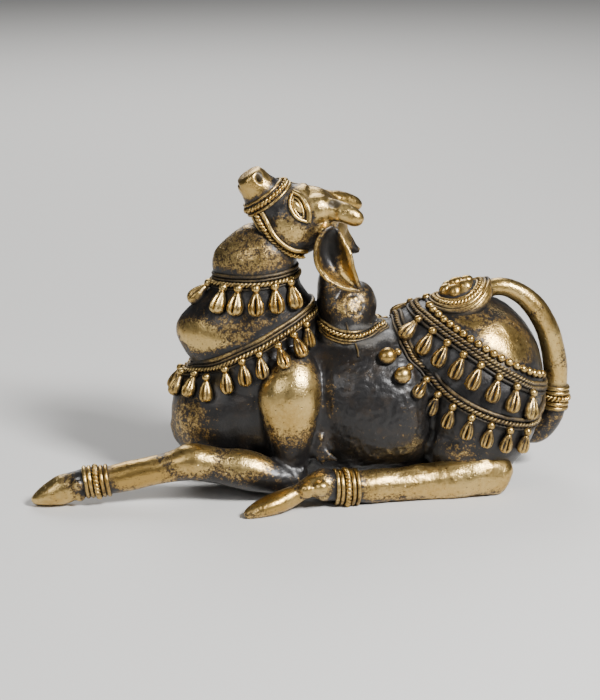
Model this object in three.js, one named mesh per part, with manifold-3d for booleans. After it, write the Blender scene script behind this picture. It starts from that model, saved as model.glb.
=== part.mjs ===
// A reclining temple bull with its head thrown back, cast in brass in one piece from a wax model.
// Smooth wax masses make the animal, and garlands of threads and small bells are laid on them.
// Millimetres, +Z up. The bull looks along -X, its left side is towards -Y, and it rests on z = 0.
import * as THREE from 'three';
import { SimplifyModifier } from 'three/addons/modifiers/SimplifyModifier.js';
import { mergeVertices } from 'three/addons/utils/BufferGeometryUtils.js';
import Module from 'manifold-3d';

const wasm = await Module();
wasm.setup();

// Driving sizes.
const figureLength = 150;        // fore hoof to the bend of the tail
const threadWidth = 1.1;         // one plain wax thread
const bandWidth = 3.5;           // a garland's two threads with the braid between them
const bandRise = 0.8;            // how far a garland stands off the skin
const bandRoot = 0.9;            // how deep it sits in the skin
const bandStep = 4;              // length of its straight pieces
const bellLength = 5.4;
const bellWidth = 3.9;
const bellPitch = 5.6;           // from bell to bell along a garland
const knobWidth = 2;             // the ball that a bell hangs from
const beadWidth = 2.1;
const beadPitch = 2.5;
const earWall = 1;
const ankletRise = 0.9;
const petalWidth = 3.6;
const eyeLength = 8;
const eyeWidth = 4;
const lidWidth = 0.9;
const nostrilWidth = 1.7;
const soleDepth = 0.5;           // what is filed off flat under the belly and legs
const hairGap = 0.01;            // between folds of the skin that would else touch
const facetsKept = 8550;         // triangles of the figure before its row of beads, about

// The free forms are in 150ths of the figure's length.
const unit = figureLength / 150;

// Garlands lie in tilted planes. Each has a point x, z of its plane, the slope in degrees, rising
// to the back, how far it hangs at both sides, and how many bells each side of its middle one.
const neckGarland = { x: -12, z: 59.2, slope: 5.5, sag: 0, bells: 5 };
const chestGarland = { x: -14.5, z: 40.9, slope: 27, sag: 0, bells: 8 };
const rumpGarland = { x: 48.5, z: 38.5, slope: -31.2, sag: 0.1, bells: 10 };
const haunchGarland = { x: 45.75, z: 36, slope: -30.3, sag: 9.1, bells: 11 };
const beadRow = { x: 50.5, z: 40.9, slope: -30.9, sag: 0.3, beads: 19 };
const humpCollar = { x: 13, z: 45.8, slope: -4.5, sag: 2.5 };
const noseBand = { x: -9.4, z: 81.3, slope: 37, sag: 0 };
const sagPower = 1.4;            // over 1 the hang is pointed at both sides, under 1 it is round

// Places seen from the side, x and z.
const jawStrap = [[-11.6, 76.8], [-10, 73.3], [-7.7, 70.1], [-4.4, 67.5], [0.9, 66.5]];
const eyeCentre = [-0.9, 79.1];
const eyeLean = -54;
const medallionCentre = [44.1, 53.6];
const medallionLean = 19.5;
const medallionDrape = 0.04;     // how the disc lies over the rump, by the square of the way sideways

// Lumps of wax of the left side: a centre x, y, z, then the three radii.
const haunchLump = [[49.8, -12.5, 22.4], [15.6, 11.8, 19.4]];
const cheekLump = [[-2.2, -4.4, 73.8], [7, 4.7, 7.6]];
const browLump = [[2.4, -5.8, 80.4], [3.6, 2.4, 2.4]];
const dewclawSize = [1.9, 1.7, 1.9];
const foreDewclaws = [[-62.6, -24.2, 7.4], [-7.6, 25.6, 4.4]];
const hindDewclaws = [[4.4, -30, 7], [-0.8, -30, 7]];

// Ringed anklets: a centre, the way that the limb runs, its radius and the length along it.
const foreAnklet = [[-57, -20.6, 7], [1, 0, 0.16], 3.9, 7.3];
const tuckedAnklet = [[-14, 23, 3.5], [1, 0, 0], 3.6, 5.4];
const tailAnklet = [[72.7, 0, 22], [0.08, 0, 1], 3.3, 5];
const hindAnklet = [[10.8, -25.1, 5], [1, 0.15, -0.02], 4.5, 7.3];

// The muzzle's slit and nostrils.
const mouthSize = [6, 12, 0.7];
const mouthCentre = [-16.7, 0, 84.1];
const mouthLean = 54.5;
const nostrilCentre = [-11.6, -4.4, 87];
const nostrilLean = 30;

// Each row is a centre x, y, z, then the half width across, the half height, and how much the
// side that the section's upright points at is pinched to a keel.
const trunkStations = [
  [68.6, 0, 26, 3.6, 4.2, 0],
  [67.1, 0, 26, 9.6, 10.2, 0],
  [65.2, 0, 26, 13.4, 15.2, 0],
  [62.2, 0, 26, 16.8, 19.6, 0],
  [56, 0, 26, 20.4, 24.2, 0],
  [48, 0, 25.8, 21.6, 26.2, 0],
  [40, 0, 25, 19, 25.6, 0],
  [33, 0, 23, 16.8, 24, 0],
  [26, 0, 20.6, 18, 22, 0],
  [16, 0, 20, 20, 21.6, 0],
  [4, 0, 20.4, 18, 21.4, 0],
  [-8, 0, 20.4, 16.4, 20.4, 0],
  [-18, 0, 20.4, 15.2, 18.4, 0],
  [-27, 0, 20.4, 12, 15.4, 0],
  [-33, 0, 20.6, 7.4, 11.2, 0],
  [-36, 0, 21, 2.6, 5.4, 0],
];
const neckStations = [
  [-12, 0, 18, 13, 18, 0.1],
  [-12.8, 0, 31, 14.8, 17, 0.25],
  [-12.5, 0, 34.3, 14.6, 17, 0.3],
  [-13.8, 0, 37.4, 14.4, 18.2, 0.35],
  [-14.6, 0, 40.4, 13.2, 18.8, 0.35],
  [-15, 0, 43.6, 13.2, 19.2, 0.35],
  [-14.6, 0, 47, 12.6, 18.8, 0.35],
  [-13.4, 0, 50.2, 12, 17, 0.35],
  [-12.6, 0, 53, 11.2, 14.6, 0.35],
  [-12, 0, 56, 10.2, 12.4, 0.35],
  [-12.2, 0, 59.2, 9.5, 11.5, 0.4],
  [-12.8, 0, 62, 9.7, 11.8, 0.4],
  [-12.3, 0, 66, 9.2, 11.9, 0.4],
  [-11.1, 0, 70, 7.6, 9.6, 0.4],
  [-11, 0, 73.4, 4, 4.6, 0.3],
];
const headStations = [
  [9.6, 0, 77.4, 3.6, 3.8, 0],
  [7, 0, 76.6, 6.6, 7, 0],
  [1.5, 0, 75.3, 8.6, 8.9, 0.1],
  [-3, 0, 76.6, 8.3, 8.9, 0.2],
  [-6.4, 0, 78.6, 7, 7.6, 0.2],
  [-9.5, 0, 81.5, 5.7, 5.9, 0.1],
  [-11.7, 0, 83.9, 4.9, 4.8, 0],
  [-13.4, 0, 86, 4.6, 4.3, 0],
  [-14.4, 0, 87.4, 3.9, 3.5, 0],
];
const humpStations = [
  [13.4, 0, 40, 10.6, 9.4, 0],
  [13.1, 0, 44, 9.4, 8.2, 0],
  [13.2, 0, 50.6, 8.6, 8.2, 0],
  [13.3, 0, 53.2, 7, 7.2, 0],
  [12.9, 0, 56, 2, 2.4, 0],
];
const napeStations = [
  [8.8, 0, 46, 6.5, 3.8, 0],
  [8.2, 0, 53, 6.2, 3.3, 0],
  [8.2, 0, 58, 5, 3, 0],
  [8.6, 0, 61.4, 2.2, 1.4, 0],
];
const barrelStations = [
  [3, 0, 21, 12, 14, 0],
  [7, 0, 21.4, 18.6, 19.4, 0],
  [13, 0, 22, 22, 21.6, 0],
  [20, 0, 22.4, 23.4, 22.4, 0],
  [27, 0, 22.8, 23, 22, 0],
  [31.6, 0, 23, 21, 20.6, 0],
  [35.6, 0, 23.4, 16.4, 17.6, 0],
  [38, 0, 23.6, 9, 10, 0],
];
const tailStations = [
  [49, 0, 52.6, 2.4, 2.2, 0],
  [55, 0, 54.4, 2.5, 2.3, 0],
  [60, 0, 53.2, 2.8, 2.7, 0],
  [65.6, 0, 48.6, 3.1, 3, 0],
  [70, 0, 41, 3.3, 3.2, 0],
  [72.2, 0, 31.5, 3.3, 3.3, 0],
  [72.7, 0, 22, 3, 3, 0],
  [71.6, 0, 16, 3.4, 3.2, 0],
  [67.6, 0, 11.4, 3.2, 3, 0],
  [62, 0, 10.4, 2.2, 2, 0],
];
const stretchedLegStations = [
  [0.6, -17.6, 5.8, 2.4, 2.6, 0],
  [-3, -19, 6, 4.2, 3.8, 0],
  [-8.4, -20, 6.6, 5, 4.6, 0],
  [-15.4, -20.2, 8.8, 5.4, 5.7, 0],
  [-26.6, -20.2, 11, 4.8, 4.9, 0],
  [-31.4, -20.3, 11.8, 4.9, 4.9, 0],
  [-36, -20.3, 10.8, 4.3, 4.4, 0],
  [-46, -20.4, 8.6, 3.9, 4.1, 0],
  [-56, -20.6, 7.1, 3.6, 3.7, 0],
  [-62.6, -20.9, 6.9, 3.1, 3.3, 0],
  [-65, -21, 5.6, 3.6, 4, 0],
  [-69.4, -21, 3.9, 3.5, 3.4, 0],
  [-73.4, -21, 2.4, 2.2, 1.7, 0],
  [-74.8, -21, 1.9, 0.8, 0.7, 0],
];
const shoulderStations = [
  [-0.4, -9, 39.4, 3.4, 3, 0],
  [-1.6, -10.8, 36.4, 6, 5.8, 0],
  [-2.8, -12.8, 32.6, 7.8, 7.6, 0],
  [-3.7, -14.2, 28.5, 8.2, 8.6, 0],
  [-3.8, -14.9, 20, 7.6, 7.6, 0],
  [-3.4, -15.2, 13.4, 6.4, 6, 0],
  [-3, -16, 8.6, 5.2, 4.8, 0],
  [-2.6, -16.6, 5, 2.8, 2.8, 0],
];
const foldedLegStations = [
  [6, 14, 14, 6, 6.5, 0],
  [-8, 17, 10, 5.4, 5.8, 0],
  [-22, 18.5, 8.4, 4.6, 4.8, 0],
  [-29, 19.4, 7, 4.2, 4.6, 0],
  [-32.4, 19.8, 5.6, 2, 2.4, 0],
];
const tuckedShankStations = [
  [-31.6, 20.6, 4.4, 1.8, 2.2, 0],
  [-28, 21.8, 3.9, 3.4, 3.6, 0],
  [-20, 22.8, 3.5, 3.2, 3.4, 0],
  [-12, 23, 3.5, 3.2, 3.4, 0],
  [-7, 22.8, 3.6, 2.6, 2.8, 0],
  [-2, 22.2, 3.2, 3.2, 3.1, 0],
  [3, 21, 2.6, 2.4, 2.4, 0],
  [4.6, 20.4, 2.2, 0.8, 0.8, 0],
];
const hindLegStations = [
  [57, -18.4, 4, 1.4, 1.6, 0],
  [56, -18.5, 4.4, 3.8, 4.2, 0],
  [53.6, -18.8, 5.2, 5.3, 5.8, 0],
  [50, -19.3, 5.8, 5.7, 6.3, 0],
  [44, -20.4, 5.6, 5.5, 5.9, 0],
  [33, -21.8, 5, 5, 5.1, 0],
  [20, -23.6, 4.8, 4.5, 4.6, 0],
  [11, -25.1, 5, 4.2, 4.4, 0],
  [7.2, -25.7, 5.6, 4.2, 4.3, 0],
  [4.4, -26.4, 6.5, 4.5, 4.6, 0],
  [2, -27, 6.6, 3.5, 3.6, 0],
  [0, -27.6, 6.2, 2.6, 2.8, 0],
  [-2.2, -28.4, 5.3, 2.5, 2.5, 0],
  [-5, -29.4, 4.2, 3, 2.8, 0],
  [-9, -31.2, 3.2, 3.4, 2.7, 0],
  [-13, -33, 2.4, 3, 2.3, 0],
  [-16, -34.5, 1.8, 1.9, 1.6, 0],
  [-17.3, -35.1, 1.6, 0.8, 0.8, 0],
];
const hornStations = [
  [4, -3.4, 78.9, 3, 3, 0],
  [9, -5.4, 78.4, 3, 3, 0],
  [12.4, -6.9, 77.4, 2.8, 2.8, 0],
  [14.9, -7.7, 76.5, 2.3, 2.4, 0],
  [16.6, -8.1, 76, 1.1, 1.2, 0],
];
const earStations = [
  [6.2, -6, 72.8, 1.6, 1.8, 0],
  [7, -8.6, 71, 2.8, 3.8, 0],
  [8, -10.4, 68, 3.3, 4.9, 0],
  [9.6, -11.6, 64.4, 3.2, 4.6, 0],
  [12.2, -12.6, 60.4, 2.6, 2.9, 0],
  [15, -13.4, 57.4, 0.9, 0.8, 0],
];

// A closed geometry from rings of points, each ring in the same order round the path.
function shell(rings, closed) {
  const count = rings[0].length;
  const points = rings.flat();
  const faces = [];
  const spans = closed ? rings.length : rings.length - 1;
  for (let i = 0; i < spans; i += 1) {
    const here = i * count;
    const next = ((i + 1) % rings.length) * count;
    for (let j = 0; j < count; j += 1) {
      const k = (j + 1) % count;
      faces.push(here + j, here + k, next + j, here + k, next + k, next + j);
    }
  }
  if (!closed) {
    const last = (rings.length - 1) * count;
    for (let j = 1; j < count - 1; j += 1) {
      faces.push(0, j + 1, j, last, last + j, last + j + 1);
    }
  }
  const geometry = new THREE.BufferGeometry();
  geometry.setAttribute('position',
    new THREE.Float32BufferAttribute(points.flatMap((p) => p.toArray()), 3));
  geometry.setIndex(faces);
  return geometry;
}

// A limb or mass: elliptical sections along a smooth path through the stations, square to the
// path unless a way is given that they all face.
function loft(stations, sides, ringsPerSpan, way) {
  const path = new THREE.CatmullRomCurve3(
    stations.map(([x, y, z]) => new THREE.Vector3(x, y, z).multiplyScalar(unit)), false, 'catmullrom');
  const girth = new THREE.CatmullRomCurve3(
    stations.map(([, , , wide, tall, keel]) => new THREE.Vector3(wide * unit, tall * unit, keel)),
    false, 'catmullrom');
  const steps = (stations.length - 1) * ringsPerSpan;
  const rings = [];
  for (let i = 0; i <= steps; i += 1) {
    const centre = path.getPoint(i / steps);
    const along = way ?? path.getTangent(i / steps);
    const across = new THREE.Vector3(0, 1, 0).addScaledVector(along, -along.y).normalize();
    const upright = along.clone().cross(across);
    const size = girth.getPoint(i / steps);
    rings.push(Array.from({ length: sides }, (_, j) => {
      const angle = (2 * Math.PI * (j + 0.5)) / sides;
      const pinch = 1 - size.z * Math.max(0, Math.sin(angle)) ** 1.5;
      return centre.clone()
        .addScaledVector(across, size.x * Math.cos(angle) * pinch)
        .addScaledVector(upright, size.y * Math.sin(angle));
    }));
  }
  return shell(rings, false);
}

function solid(geometry) {
  const bare = geometry.clone();
  bare.deleteAttribute('normal');
  bare.deleteAttribute('uv');
  const merged = mergeVertices(bare);
  return new wasm.Manifold(new wasm.Mesh({
    numProp: 3,
    vertProperties: merged.attributes.position.array,
    triVerts: merged.index.array,
  }));
}

function geometryOf(manifold) {
  const mesh = manifold.getMesh();
  const geometry = new THREE.BufferGeometry();
  geometry.setAttribute('position', new THREE.BufferAttribute(mesh.vertProperties, 3));
  geometry.setIndex(new THREE.BufferAttribute(mesh.triVerts, 1));
  geometry.computeVertexNormals();
  return geometry;
}

const join = (solids) => solids.reduce((whole, next) => whole.add(next));

// An ellipsoid at a centre, in 150ths of the figure's length.
function lump([x, y, z], [rx, ry, rz], sides = 14, rows = 9) {
  return solid(new THREE.SphereGeometry(unit, sides, rows).rotateX(Math.PI / 2)
    .scale(rx, ry, rz).translate(x * unit, y * unit, z * unit));
}

const mirrored = (rows) => rows.map(([x, y, z, ...rest]) => [x, -y, z, ...rest]);

// A cupped leaf that opens outwards. The right ear is swung a little further up and back.
function ears() {
  const swing = { back: 0.4, up: 0.8 };
  const leaves = [
    earStations,
    mirrored(earStations).map(([x, y, z, ...rest], i) => [
      x + swing.back * i, y, z + swing.up * i, ...rest]),
  ];
  return leaves.map((outer) => {
    const bowl = outer.map(([x, y, z, wide, tall, keel]) => [
      x, y + Math.sign(y) * 0.6 * wide, z, wide * 1.3, Math.max(tall - earWall / unit, 0.2), keel]);
    return solid(loft(outer, 10, 2)).subtract(solid(loft(bowl, 9, 2)));
  });
}

// A loft of the left side's stations, or a lump, with its twin.
const paired = (stations, ...how) => join([stations, mirrored(stations)].map((rows) =>
  solid(loft(rows, ...how))));
const lumpPair = ([centre, size], ...how) => join(mirrored([centre]).concat([centre]).map((at) =>
  lump(at, size, ...how)));

// The large masses, each apart so that a garland can be laid on the ones that it goes round.
function masses() {
  return {
    trunk: solid(loft(trunkStations, 20, 1)),
    barrel: solid(loft(barrelStations, 18, 1)),
    neck: solid(loft(neckStations, 18, 1, new THREE.Vector3(0, 0, 1))),
    head: solid(loft(headStations, 16, 1)),
    hump: solid(loft(humpStations, 14, 2)),
    nape: solid(loft(napeStations, 10, 1)),
    shoulders: paired(shoulderStations, 12, 1),
    haunches: lumpPair(haunchLump),
    cheeks: lumpPair(cheekLump),
    brows: lumpPair(browLump),
  };
}

// The legs with the knobs behind their fetlocks, the tail and the horns.
function limbs() {
  return [
    solid(loft(tailStations, 10, 2)),
    solid(loft(stretchedLegStations, 10, 1)),
    solid(loft(foldedLegStations, 10, 1)),
    solid(loft(tuckedShankStations, 8, 1)),
    paired(hindLegStations, 10, 1),
    paired(hornStations, 9, 2),
    ...foreDewclaws.map((centre) => lump(centre, dewclawSize, 8, 6)),
    ...hindDewclaws.map((centre) => lumpPair([centre, dewclawSize], 8, 6)),
  ];
}

// Finds the skin by casting rays at it.
function skinFinder(body) {
  const skin = new THREE.Mesh(geometryOf(body), new THREE.MeshBasicMaterial());
  const caster = new THREE.Raycaster();
  return (from, towards) => {
    caster.set(from, towards.clone().normalize());
    const [hit] = caster.intersectObject(skin);
    return hit && { at: hit.point, out: hit.normal.clone().normalize() };
  };
}

// A closed line round the body where a plane tilted by slope degrees meets the skin. It starts at
// the end that points forward, passes the left side first, and hangs by sag at both sides.
function girdle(find, { x, z, slope, sag }) {
  const tilt = THREE.MathUtils.degToRad(slope);
  const back = new THREE.Vector3(Math.cos(tilt), 0, Math.sin(tilt));
  const above = new THREE.Vector3(-Math.sin(tilt), 0, Math.cos(tilt));
  const count = 180;
  const line = [];
  for (let i = 0; i < count; i += 1) {
    const turn = (2 * Math.PI * i) / count;
    const spoke = new THREE.Vector3(0, -Math.sin(turn), 0).addScaledVector(back, -Math.cos(turn));
    const hub = new THREE.Vector3(x * unit, 0, z * unit)
      .addScaledVector(above, -sag * unit * Math.abs(Math.sin(turn)) ** sagPower);
    line.push(find(hub.clone().addScaledVector(spoke, figureLength), spoke.negate()));
  }
  return line;
}

// A line on the body's side through points x, z, seen along Y from the left or the right.
function sideLine(find, points, side, closed = false, smooth = 8) {
  const curve = new THREE.CatmullRomCurve3(
    points.map(([x, z]) => new THREE.Vector3(x * unit, side * figureLength, z * unit)), closed);
  return curve.getSpacedPoints(points.length * smooth).slice(0, closed ? -1 : undefined)
    .map((p) => find(p, new THREE.Vector3(0, -side, 0))).filter(Boolean);
}

// Evenly spaced points on a line, with the way it runs and its outward and sideways directions.
function spaced(line, closed, pitch, from = 0, to = Infinity) {
  const points = closed ? [...line, line[0]] : line;
  const lengths = [0];
  for (let i = 1; i < points.length; i += 1) {
    lengths.push(lengths[i - 1] + points[i].at.distanceTo(points[i - 1].at));
  }
  const total = lengths[lengths.length - 1];
  const end = Math.min(to, total);
  const count = Math.max(1, Math.round((end - from) / pitch));
  const marks = [];
  for (let i = 0; i <= count; i += 1) {
    const s = ((from + ((end - from) * i) / count) % total + total) % total;
    const k = Math.max(1, lengths.findIndex((l) => l > s));
    const share = (s - lengths[k - 1]) / (lengths[k] - lengths[k - 1]);
    const run = points[k].at.clone().sub(points[k - 1].at).normalize();
    const out = points[k - 1].out.clone().lerp(points[k].out, share);
    out.addScaledVector(run, -out.dot(run)).normalize();
    const at = points[k - 1].at.clone().lerp(points[k].at, share);
    marks.push({ at, out, up: out.clone().cross(run) });
  }
  if (closed && end - from >= total) marks.pop();
  return { marks, total };
}

// A thread or a band: a section of points (sideways, outward) carried along a line.
function sweep(line, closed, pitch, section) {
  const { marks } = spaced(line, closed, pitch);
  return solid(shell(marks.map(({ at, out, up }) => section.map(([side, height]) =>
    at.clone().addScaledVector(up, side).addScaledVector(out, height))), closed));
}

// Two threads with a groove between them for the braid.
const bandSection = (width) => [
  [-width * 0.5, -bandRoot],
  [width * 0.5, -bandRoot],
  [width * 0.36, bandRise],
  [0, bandRise * 0.6],
  [-width * 0.36, bandRise],
];
const threadSection = (width) => [
  [-width * 0.5, -width * 0.5],
  [width * 0.5, -width * 0.5],
  [width * 0.4, width * 0.5],
  [-width * 0.4, width * 0.5],
];
const bandOn = (find, place, width = bandWidth) =>
  sweep(girdle(find, place), true, bandStep, bandSection(width));

// One mark on a line at a length along it.
const markAt = (line, length) => spaced(line, true, bellPitch, length, length + 0.001).marks[0];

// A small bell with its ball, hung below a mark on a band and laid against the skin.
function bell(find, { at, out, up }) {
  const plumb = new THREE.Vector3(0, 0, 1).addScaledVector(out, -out.z).normalize();
  const upward = up.clone().lerp(plumb, 0.6).normalize();
  upward.addScaledVector(out, -upward.dot(out)).normalize();
  const onSkin = (drop) => {
    const hung = at.clone().addScaledVector(upward, -drop);
    const seen = find(hung.clone().addScaledVector(out, 4 * bellLength), out.clone().negate());
    return seen || { at: hung, out };
  };
  const skin = onSkin((bandWidth + bellLength) / 2 + knobWidth * 0.8);
  const outward = skin.out.clone().lerp(out, 0.5);
  outward.addScaledVector(upward, -outward.dot(upward)).normalize();
  const body = new THREE.LatheGeometry([
    [0, -0.5], [0.4, -0.42], [0.5, -0.12], [0.28, 0.4], [0, 0.6],
  ].map(([r, h]) => new THREE.Vector2(r * bellWidth, h * bellLength)), 7).rotateX(Math.PI / 2);
  body.applyMatrix4(new THREE.Matrix4().makeBasis(outward.clone().cross(upward), outward, upward)
    .setPosition(skin.at.clone().addScaledVector(outward, bellWidth * 0.12)));
  const hook = onSkin(bandWidth / 2 + knobWidth * 0.4);
  const knob = new THREE.SphereGeometry(knobWidth / 2, 6, 4)
    .translate(...hook.at.addScaledVector(outward, knobWidth * 0.3).toArray());
  return [solid(body), solid(knob)];
}

// The bells of a garland, from the keel or, on the rump, from under the tail.
function bells(find, place, fromBack = false) {
  const line = girdle(find, place);
  const start = fromBack ? spaced(line, true, bellPitch).total / 2 : 0;
  return Array.from({ length: 2 * place.bells + 1 }, (_, i) =>
    bell(find, markAt(line, start + (i - place.bells) * bellPitch))).flat();
}

function beads(find, place) {
  const line = girdle(find, place);
  const middle = spaced(line, true, beadPitch).total / 2;
  return Array.from({ length: 2 * place.beads + 1 }, (_, i) => {
    const { at, out } = markAt(line, middle + (i - place.beads) * beadPitch);
    return solid(new THREE.OctahedronGeometry(beadWidth * 0.58)
      .translate(...at.clone().addScaledVector(out, beadWidth * 0.2).toArray()));
  });
}

// Three rings round a limb, set square to it at a centre.
function anklet([x, y, z], [dx, dy, dz], radius, length) {
  const rows = [[-0.5, 0.4], [-0.36, 1], [-0.18, 0.5], [0, 1], [0.18, 0.5], [0.36, 1], [0.5, 0.4]];
  const profile = [
    new THREE.Vector2(0, -length * unit / 2),
    ...rows.map(([t, rise]) =>
      new THREE.Vector2(radius * unit + ankletRise * (rise - 0.3), t * length * unit)),
    new THREE.Vector2(0, length * unit / 2),
  ];
  const turned = new THREE.LatheGeometry(profile, 12);
  const spin = new THREE.Quaternion().setFromUnitVectors(
    new THREE.Vector3(0, 1, 0), new THREE.Vector3(dx, dy, dz).normalize());
  return solid(turned.applyQuaternion(spin).translate(x * unit, y * unit, z * unit));
}

// An almond lid round a small ball, on one side of the face.
function eye(find, side) {
  const lean = THREE.MathUtils.degToRad(eyeLean);
  const [cx, cz] = eyeCentre;
  const almond = Array.from({ length: 12 }, (_, i) => {
    const turn = (2 * Math.PI * i) / 12;
    const u = (eyeLength / unit / 2) * Math.cos(turn);
    const v = (eyeWidth / unit / 2) * Math.sin(turn) * Math.abs(Math.sin(turn)) ** 0.3;
    return [cx + u * Math.cos(lean) - v * Math.sin(lean), cz + u * Math.sin(lean) + v * Math.cos(lean)];
  });
  const lid = sweep(sideLine(find, almond, side, true, 1), true, lidWidth * 1.6, threadSection(lidWidth));
  const [middle] = sideLine(find, [[cx, cz], [cx + 0.1, cz]], side);
  const ball = new THREE.SphereGeometry(1, 8, 6).rotateX(Math.PI / 2)
    .scale(eyeLength * 0.27, lidWidth, eyeWidth * 0.26).rotateY(-lean).translate(...middle.at.toArray());
  return [lid, solid(ball)];
}

// A flower of seven petals on a domed and ringed disc, draped over the top of the rump.
function medallion() {
  const [x, z] = medallionCentre;
  const lean = THREE.MathUtils.degToRad(medallionLean);
  const place = (geometry) => {
    const { position } = geometry.attributes;
    for (let i = 0; i < position.count; i += 1) {
      position.setZ(i, position.getZ(i) - (medallionDrape / unit) * position.getY(i) ** 2);
    }
    return solid(geometry.rotateY(-lean).translate(x * unit, 0, z * unit));
  };
  const disc = new THREE.LatheGeometry([
    [0, -2.6], [9.4, -2.6], [9.6, -0.4], [9, 0.8], [8.2, 0.4], [7, 1], [6, 0.8], [4.6, 1.7], [0, 2.9],
  ].map(([r, h]) => new THREE.Vector2(r * unit, h * unit)), 18).rotateX(Math.PI / 2);
  const petals = Array.from({ length: 7 }, (_, i) => {
    const turn = (2 * Math.PI * i) / 6;
    const [reach, rise] = i < 6 ? [3.2, 1.9] : [0, 2.6];
    return place(new THREE.SphereGeometry(petalWidth / 2, 7, 5).rotateX(Math.PI / 2).scale(1, 1, 0.8)
      .translate(reach * Math.cos(turn) * unit, reach * Math.sin(turn) * unit, rise * unit));
  });
  return [place(disc), ...petals];
}

// The bands, the medallion, the bridle and the eyes.
function bands({ front, hind, face }, { hump, head }) {
  return [
    bandOn(front, neckGarland),
    bandOn(front, chestGarland),
    bandOn(hind, rumpGarland),
    bandOn(hind, haunchGarland, bandWidth * 0.85),
    bandOn(skinFinder(hump), humpCollar),
    bandOn(skinFinder(head), noseBand, bandWidth * 0.8),
    ...medallion(),
    ...[-1, 1].flatMap((side) => [
      sweep(sideLine(face, jawStrap, side), false, 2, threadSection(threadWidth * 1.3)),
      ...eye(face, side),
    ]),
  ];
}

function allBells({ front, hind }) {
  return [
    ...bells(front, neckGarland),
    ...bells(front, chestGarland),
    ...bells(hind, rumpGarland, true),
    ...bells(hind, haunchGarland, true),
  ];
}

function anklets() {
  const [hindCentre, hindWay, ...hindSize] = hindAnklet;
  return [
    anklet(...foreAnklet),
    anklet(...tuckedAnklet),
    anklet(...tailAnklet),
    anklet(...hindAnklet),
    anklet(...mirrored([hindCentre, hindWay]), ...hindSize),
  ];
}

// What is cut into the muzzle: the nostrils and the slit of the mouth.
function muzzleCuts() {
  const inUnits = (place) => place.map((value) => value * unit);
  const mouth = new THREE.BoxGeometry(...inUnits(mouthSize))
    .rotateY(THREE.MathUtils.degToRad(mouthLean)).translate(...inUnits(mouthCentre));
  const nostrils = [nostrilCentre, ...mirrored([nostrilCentre])].map((centre) =>
    new THREE.SphereGeometry(nostrilWidth / 2, 8, 6).scale(0.8, 1.6, 1.4)
      .rotateY(THREE.MathUtils.degToRad(nostrilLean)).translate(...inUnits(centre)));
  return join([mouth, ...nostrils].map(solid));
}

// All that is below the flat sole.
function ground() {
  return solid(new THREE.BoxGeometry(2 * figureLength, figureLength, figureLength)
    .translate(0, 0, soleDepth - figureLength / 2));
}

// Keeps the outer skin, without the tiny sealed hollows where wax met wax.
function outerSkin(manifold) {
  const { vertProperties, triVerts } = manifold.getMesh();
  const root = Array.from({ length: vertProperties.length / 3 }, (_, i) => i);
  const rootOf = (i) => {
    let at = i;
    while (root[at] !== at) {
      root[at] = root[root[at]];
      at = root[at];
    }
    return at;
  };
  for (let i = 0; i < triVerts.length; i += 3) {
    root[rootOf(triVerts[i])] = rootOf(triVerts[i + 1]);
    root[rootOf(triVerts[i + 1])] = rootOf(triVerts[i + 2]);
  }
  const sizes = new Map();
  triVerts.forEach((v) => sizes.set(rootOf(v), (sizes.get(rootOf(v)) || 0) + 1));
  const [main] = [...sizes.entries()].sort((a, b) => b[1] - a[1])[0];
  const geometry = new THREE.BufferGeometry();
  geometry.setAttribute('position', new THREE.BufferAttribute(vertProperties, 3));
  geometry.setIndex([...triVerts].filter((_, i) => rootOf(triVerts[i - (i % 3)]) === main));
  return geometry;
}

// Leaves out the vertices that add least, which are those on flats and along shallow bends.
async function lighter(geometry) {
  const share = facetsKept / (geometry.index.count / 3);
  const spare = Math.max(0, Math.round(geometry.attributes.position.count * (1 - share)));
  return new SimplifyModifier().modify(geometry, spare);
}

// Where two folds of the skin touch, each is drawn back a hair, so that every edge has two faces.
function apart(geometry) {
  geometry.computeVertexNormals();
  const { position, normal } = geometry.attributes;
  const place = (i) => [position.getX(i), position.getY(i), position.getZ(i)]
    .map((value) => Math.round(value / hairGap)).join();
  const used = [...new Set(geometry.index.array)];
  const counts = new Map();
  used.forEach((i) => counts.set(place(i), (counts.get(place(i)) || 0) + 1));
  used.filter((i) => counts.get(place(i)) > 1).forEach((i) => {
    const drawn = new THREE.Vector3().fromBufferAttribute(position, i)
      .addScaledVector(new THREE.Vector3().fromBufferAttribute(normal, i), -hairGap);
    position.setXYZ(i, ...drawn.toArray());
  });
  return geometry;
}

// The casting, centred over its own footprint.
async function bullCasting() {
  const body = masses();
  const skins = {
    front: skinFinder(join([body.trunk, body.neck, body.shoulders])),
    hind: skinFinder(join([body.trunk, body.barrel, body.haunches])),
    face: skinFinder(join([body.head, body.cheeks])),
  };
  const animal = join([...Object.values(body), ...limbs(), ...ears()]);
  const dressed = join([animal, ...bands(skins, body), ...anklets(), ...allBells(skins)]);
  const light = solid(await lighter(outerSkin(dressed)));
  const whole = join([light, ...beads(skins.hind, beadRow)]);
  const geometry = apart(outerSkin(whole.subtract(muzzleCuts()).subtract(ground())));
  geometry.computeBoundingBox();
  const middle = geometry.boundingBox.getCenter(new THREE.Vector3());
  geometry.translate(-middle.x, -middle.y, -geometry.boundingBox.min.z);
  geometry.computeVertexNormals();
  const brass = new THREE.MeshStandardMaterial({ color: 0xa88444, roughness: 0.38, metalness: 1 });
  const mesh = new THREE.Mesh(geometry, brass);
  mesh.name = 'nandi_bull';
  return mesh;
}

const figure = new THREE.Group();
figure.add(await bullCasting());

export default figure;
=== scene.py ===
import math

import bmesh
import bpy
import numpy as np
from mathutils import Matrix, Vector, noise
from mathutils.bvhtree import BVHTree
from mathutils.kdtree import KDTree


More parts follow.
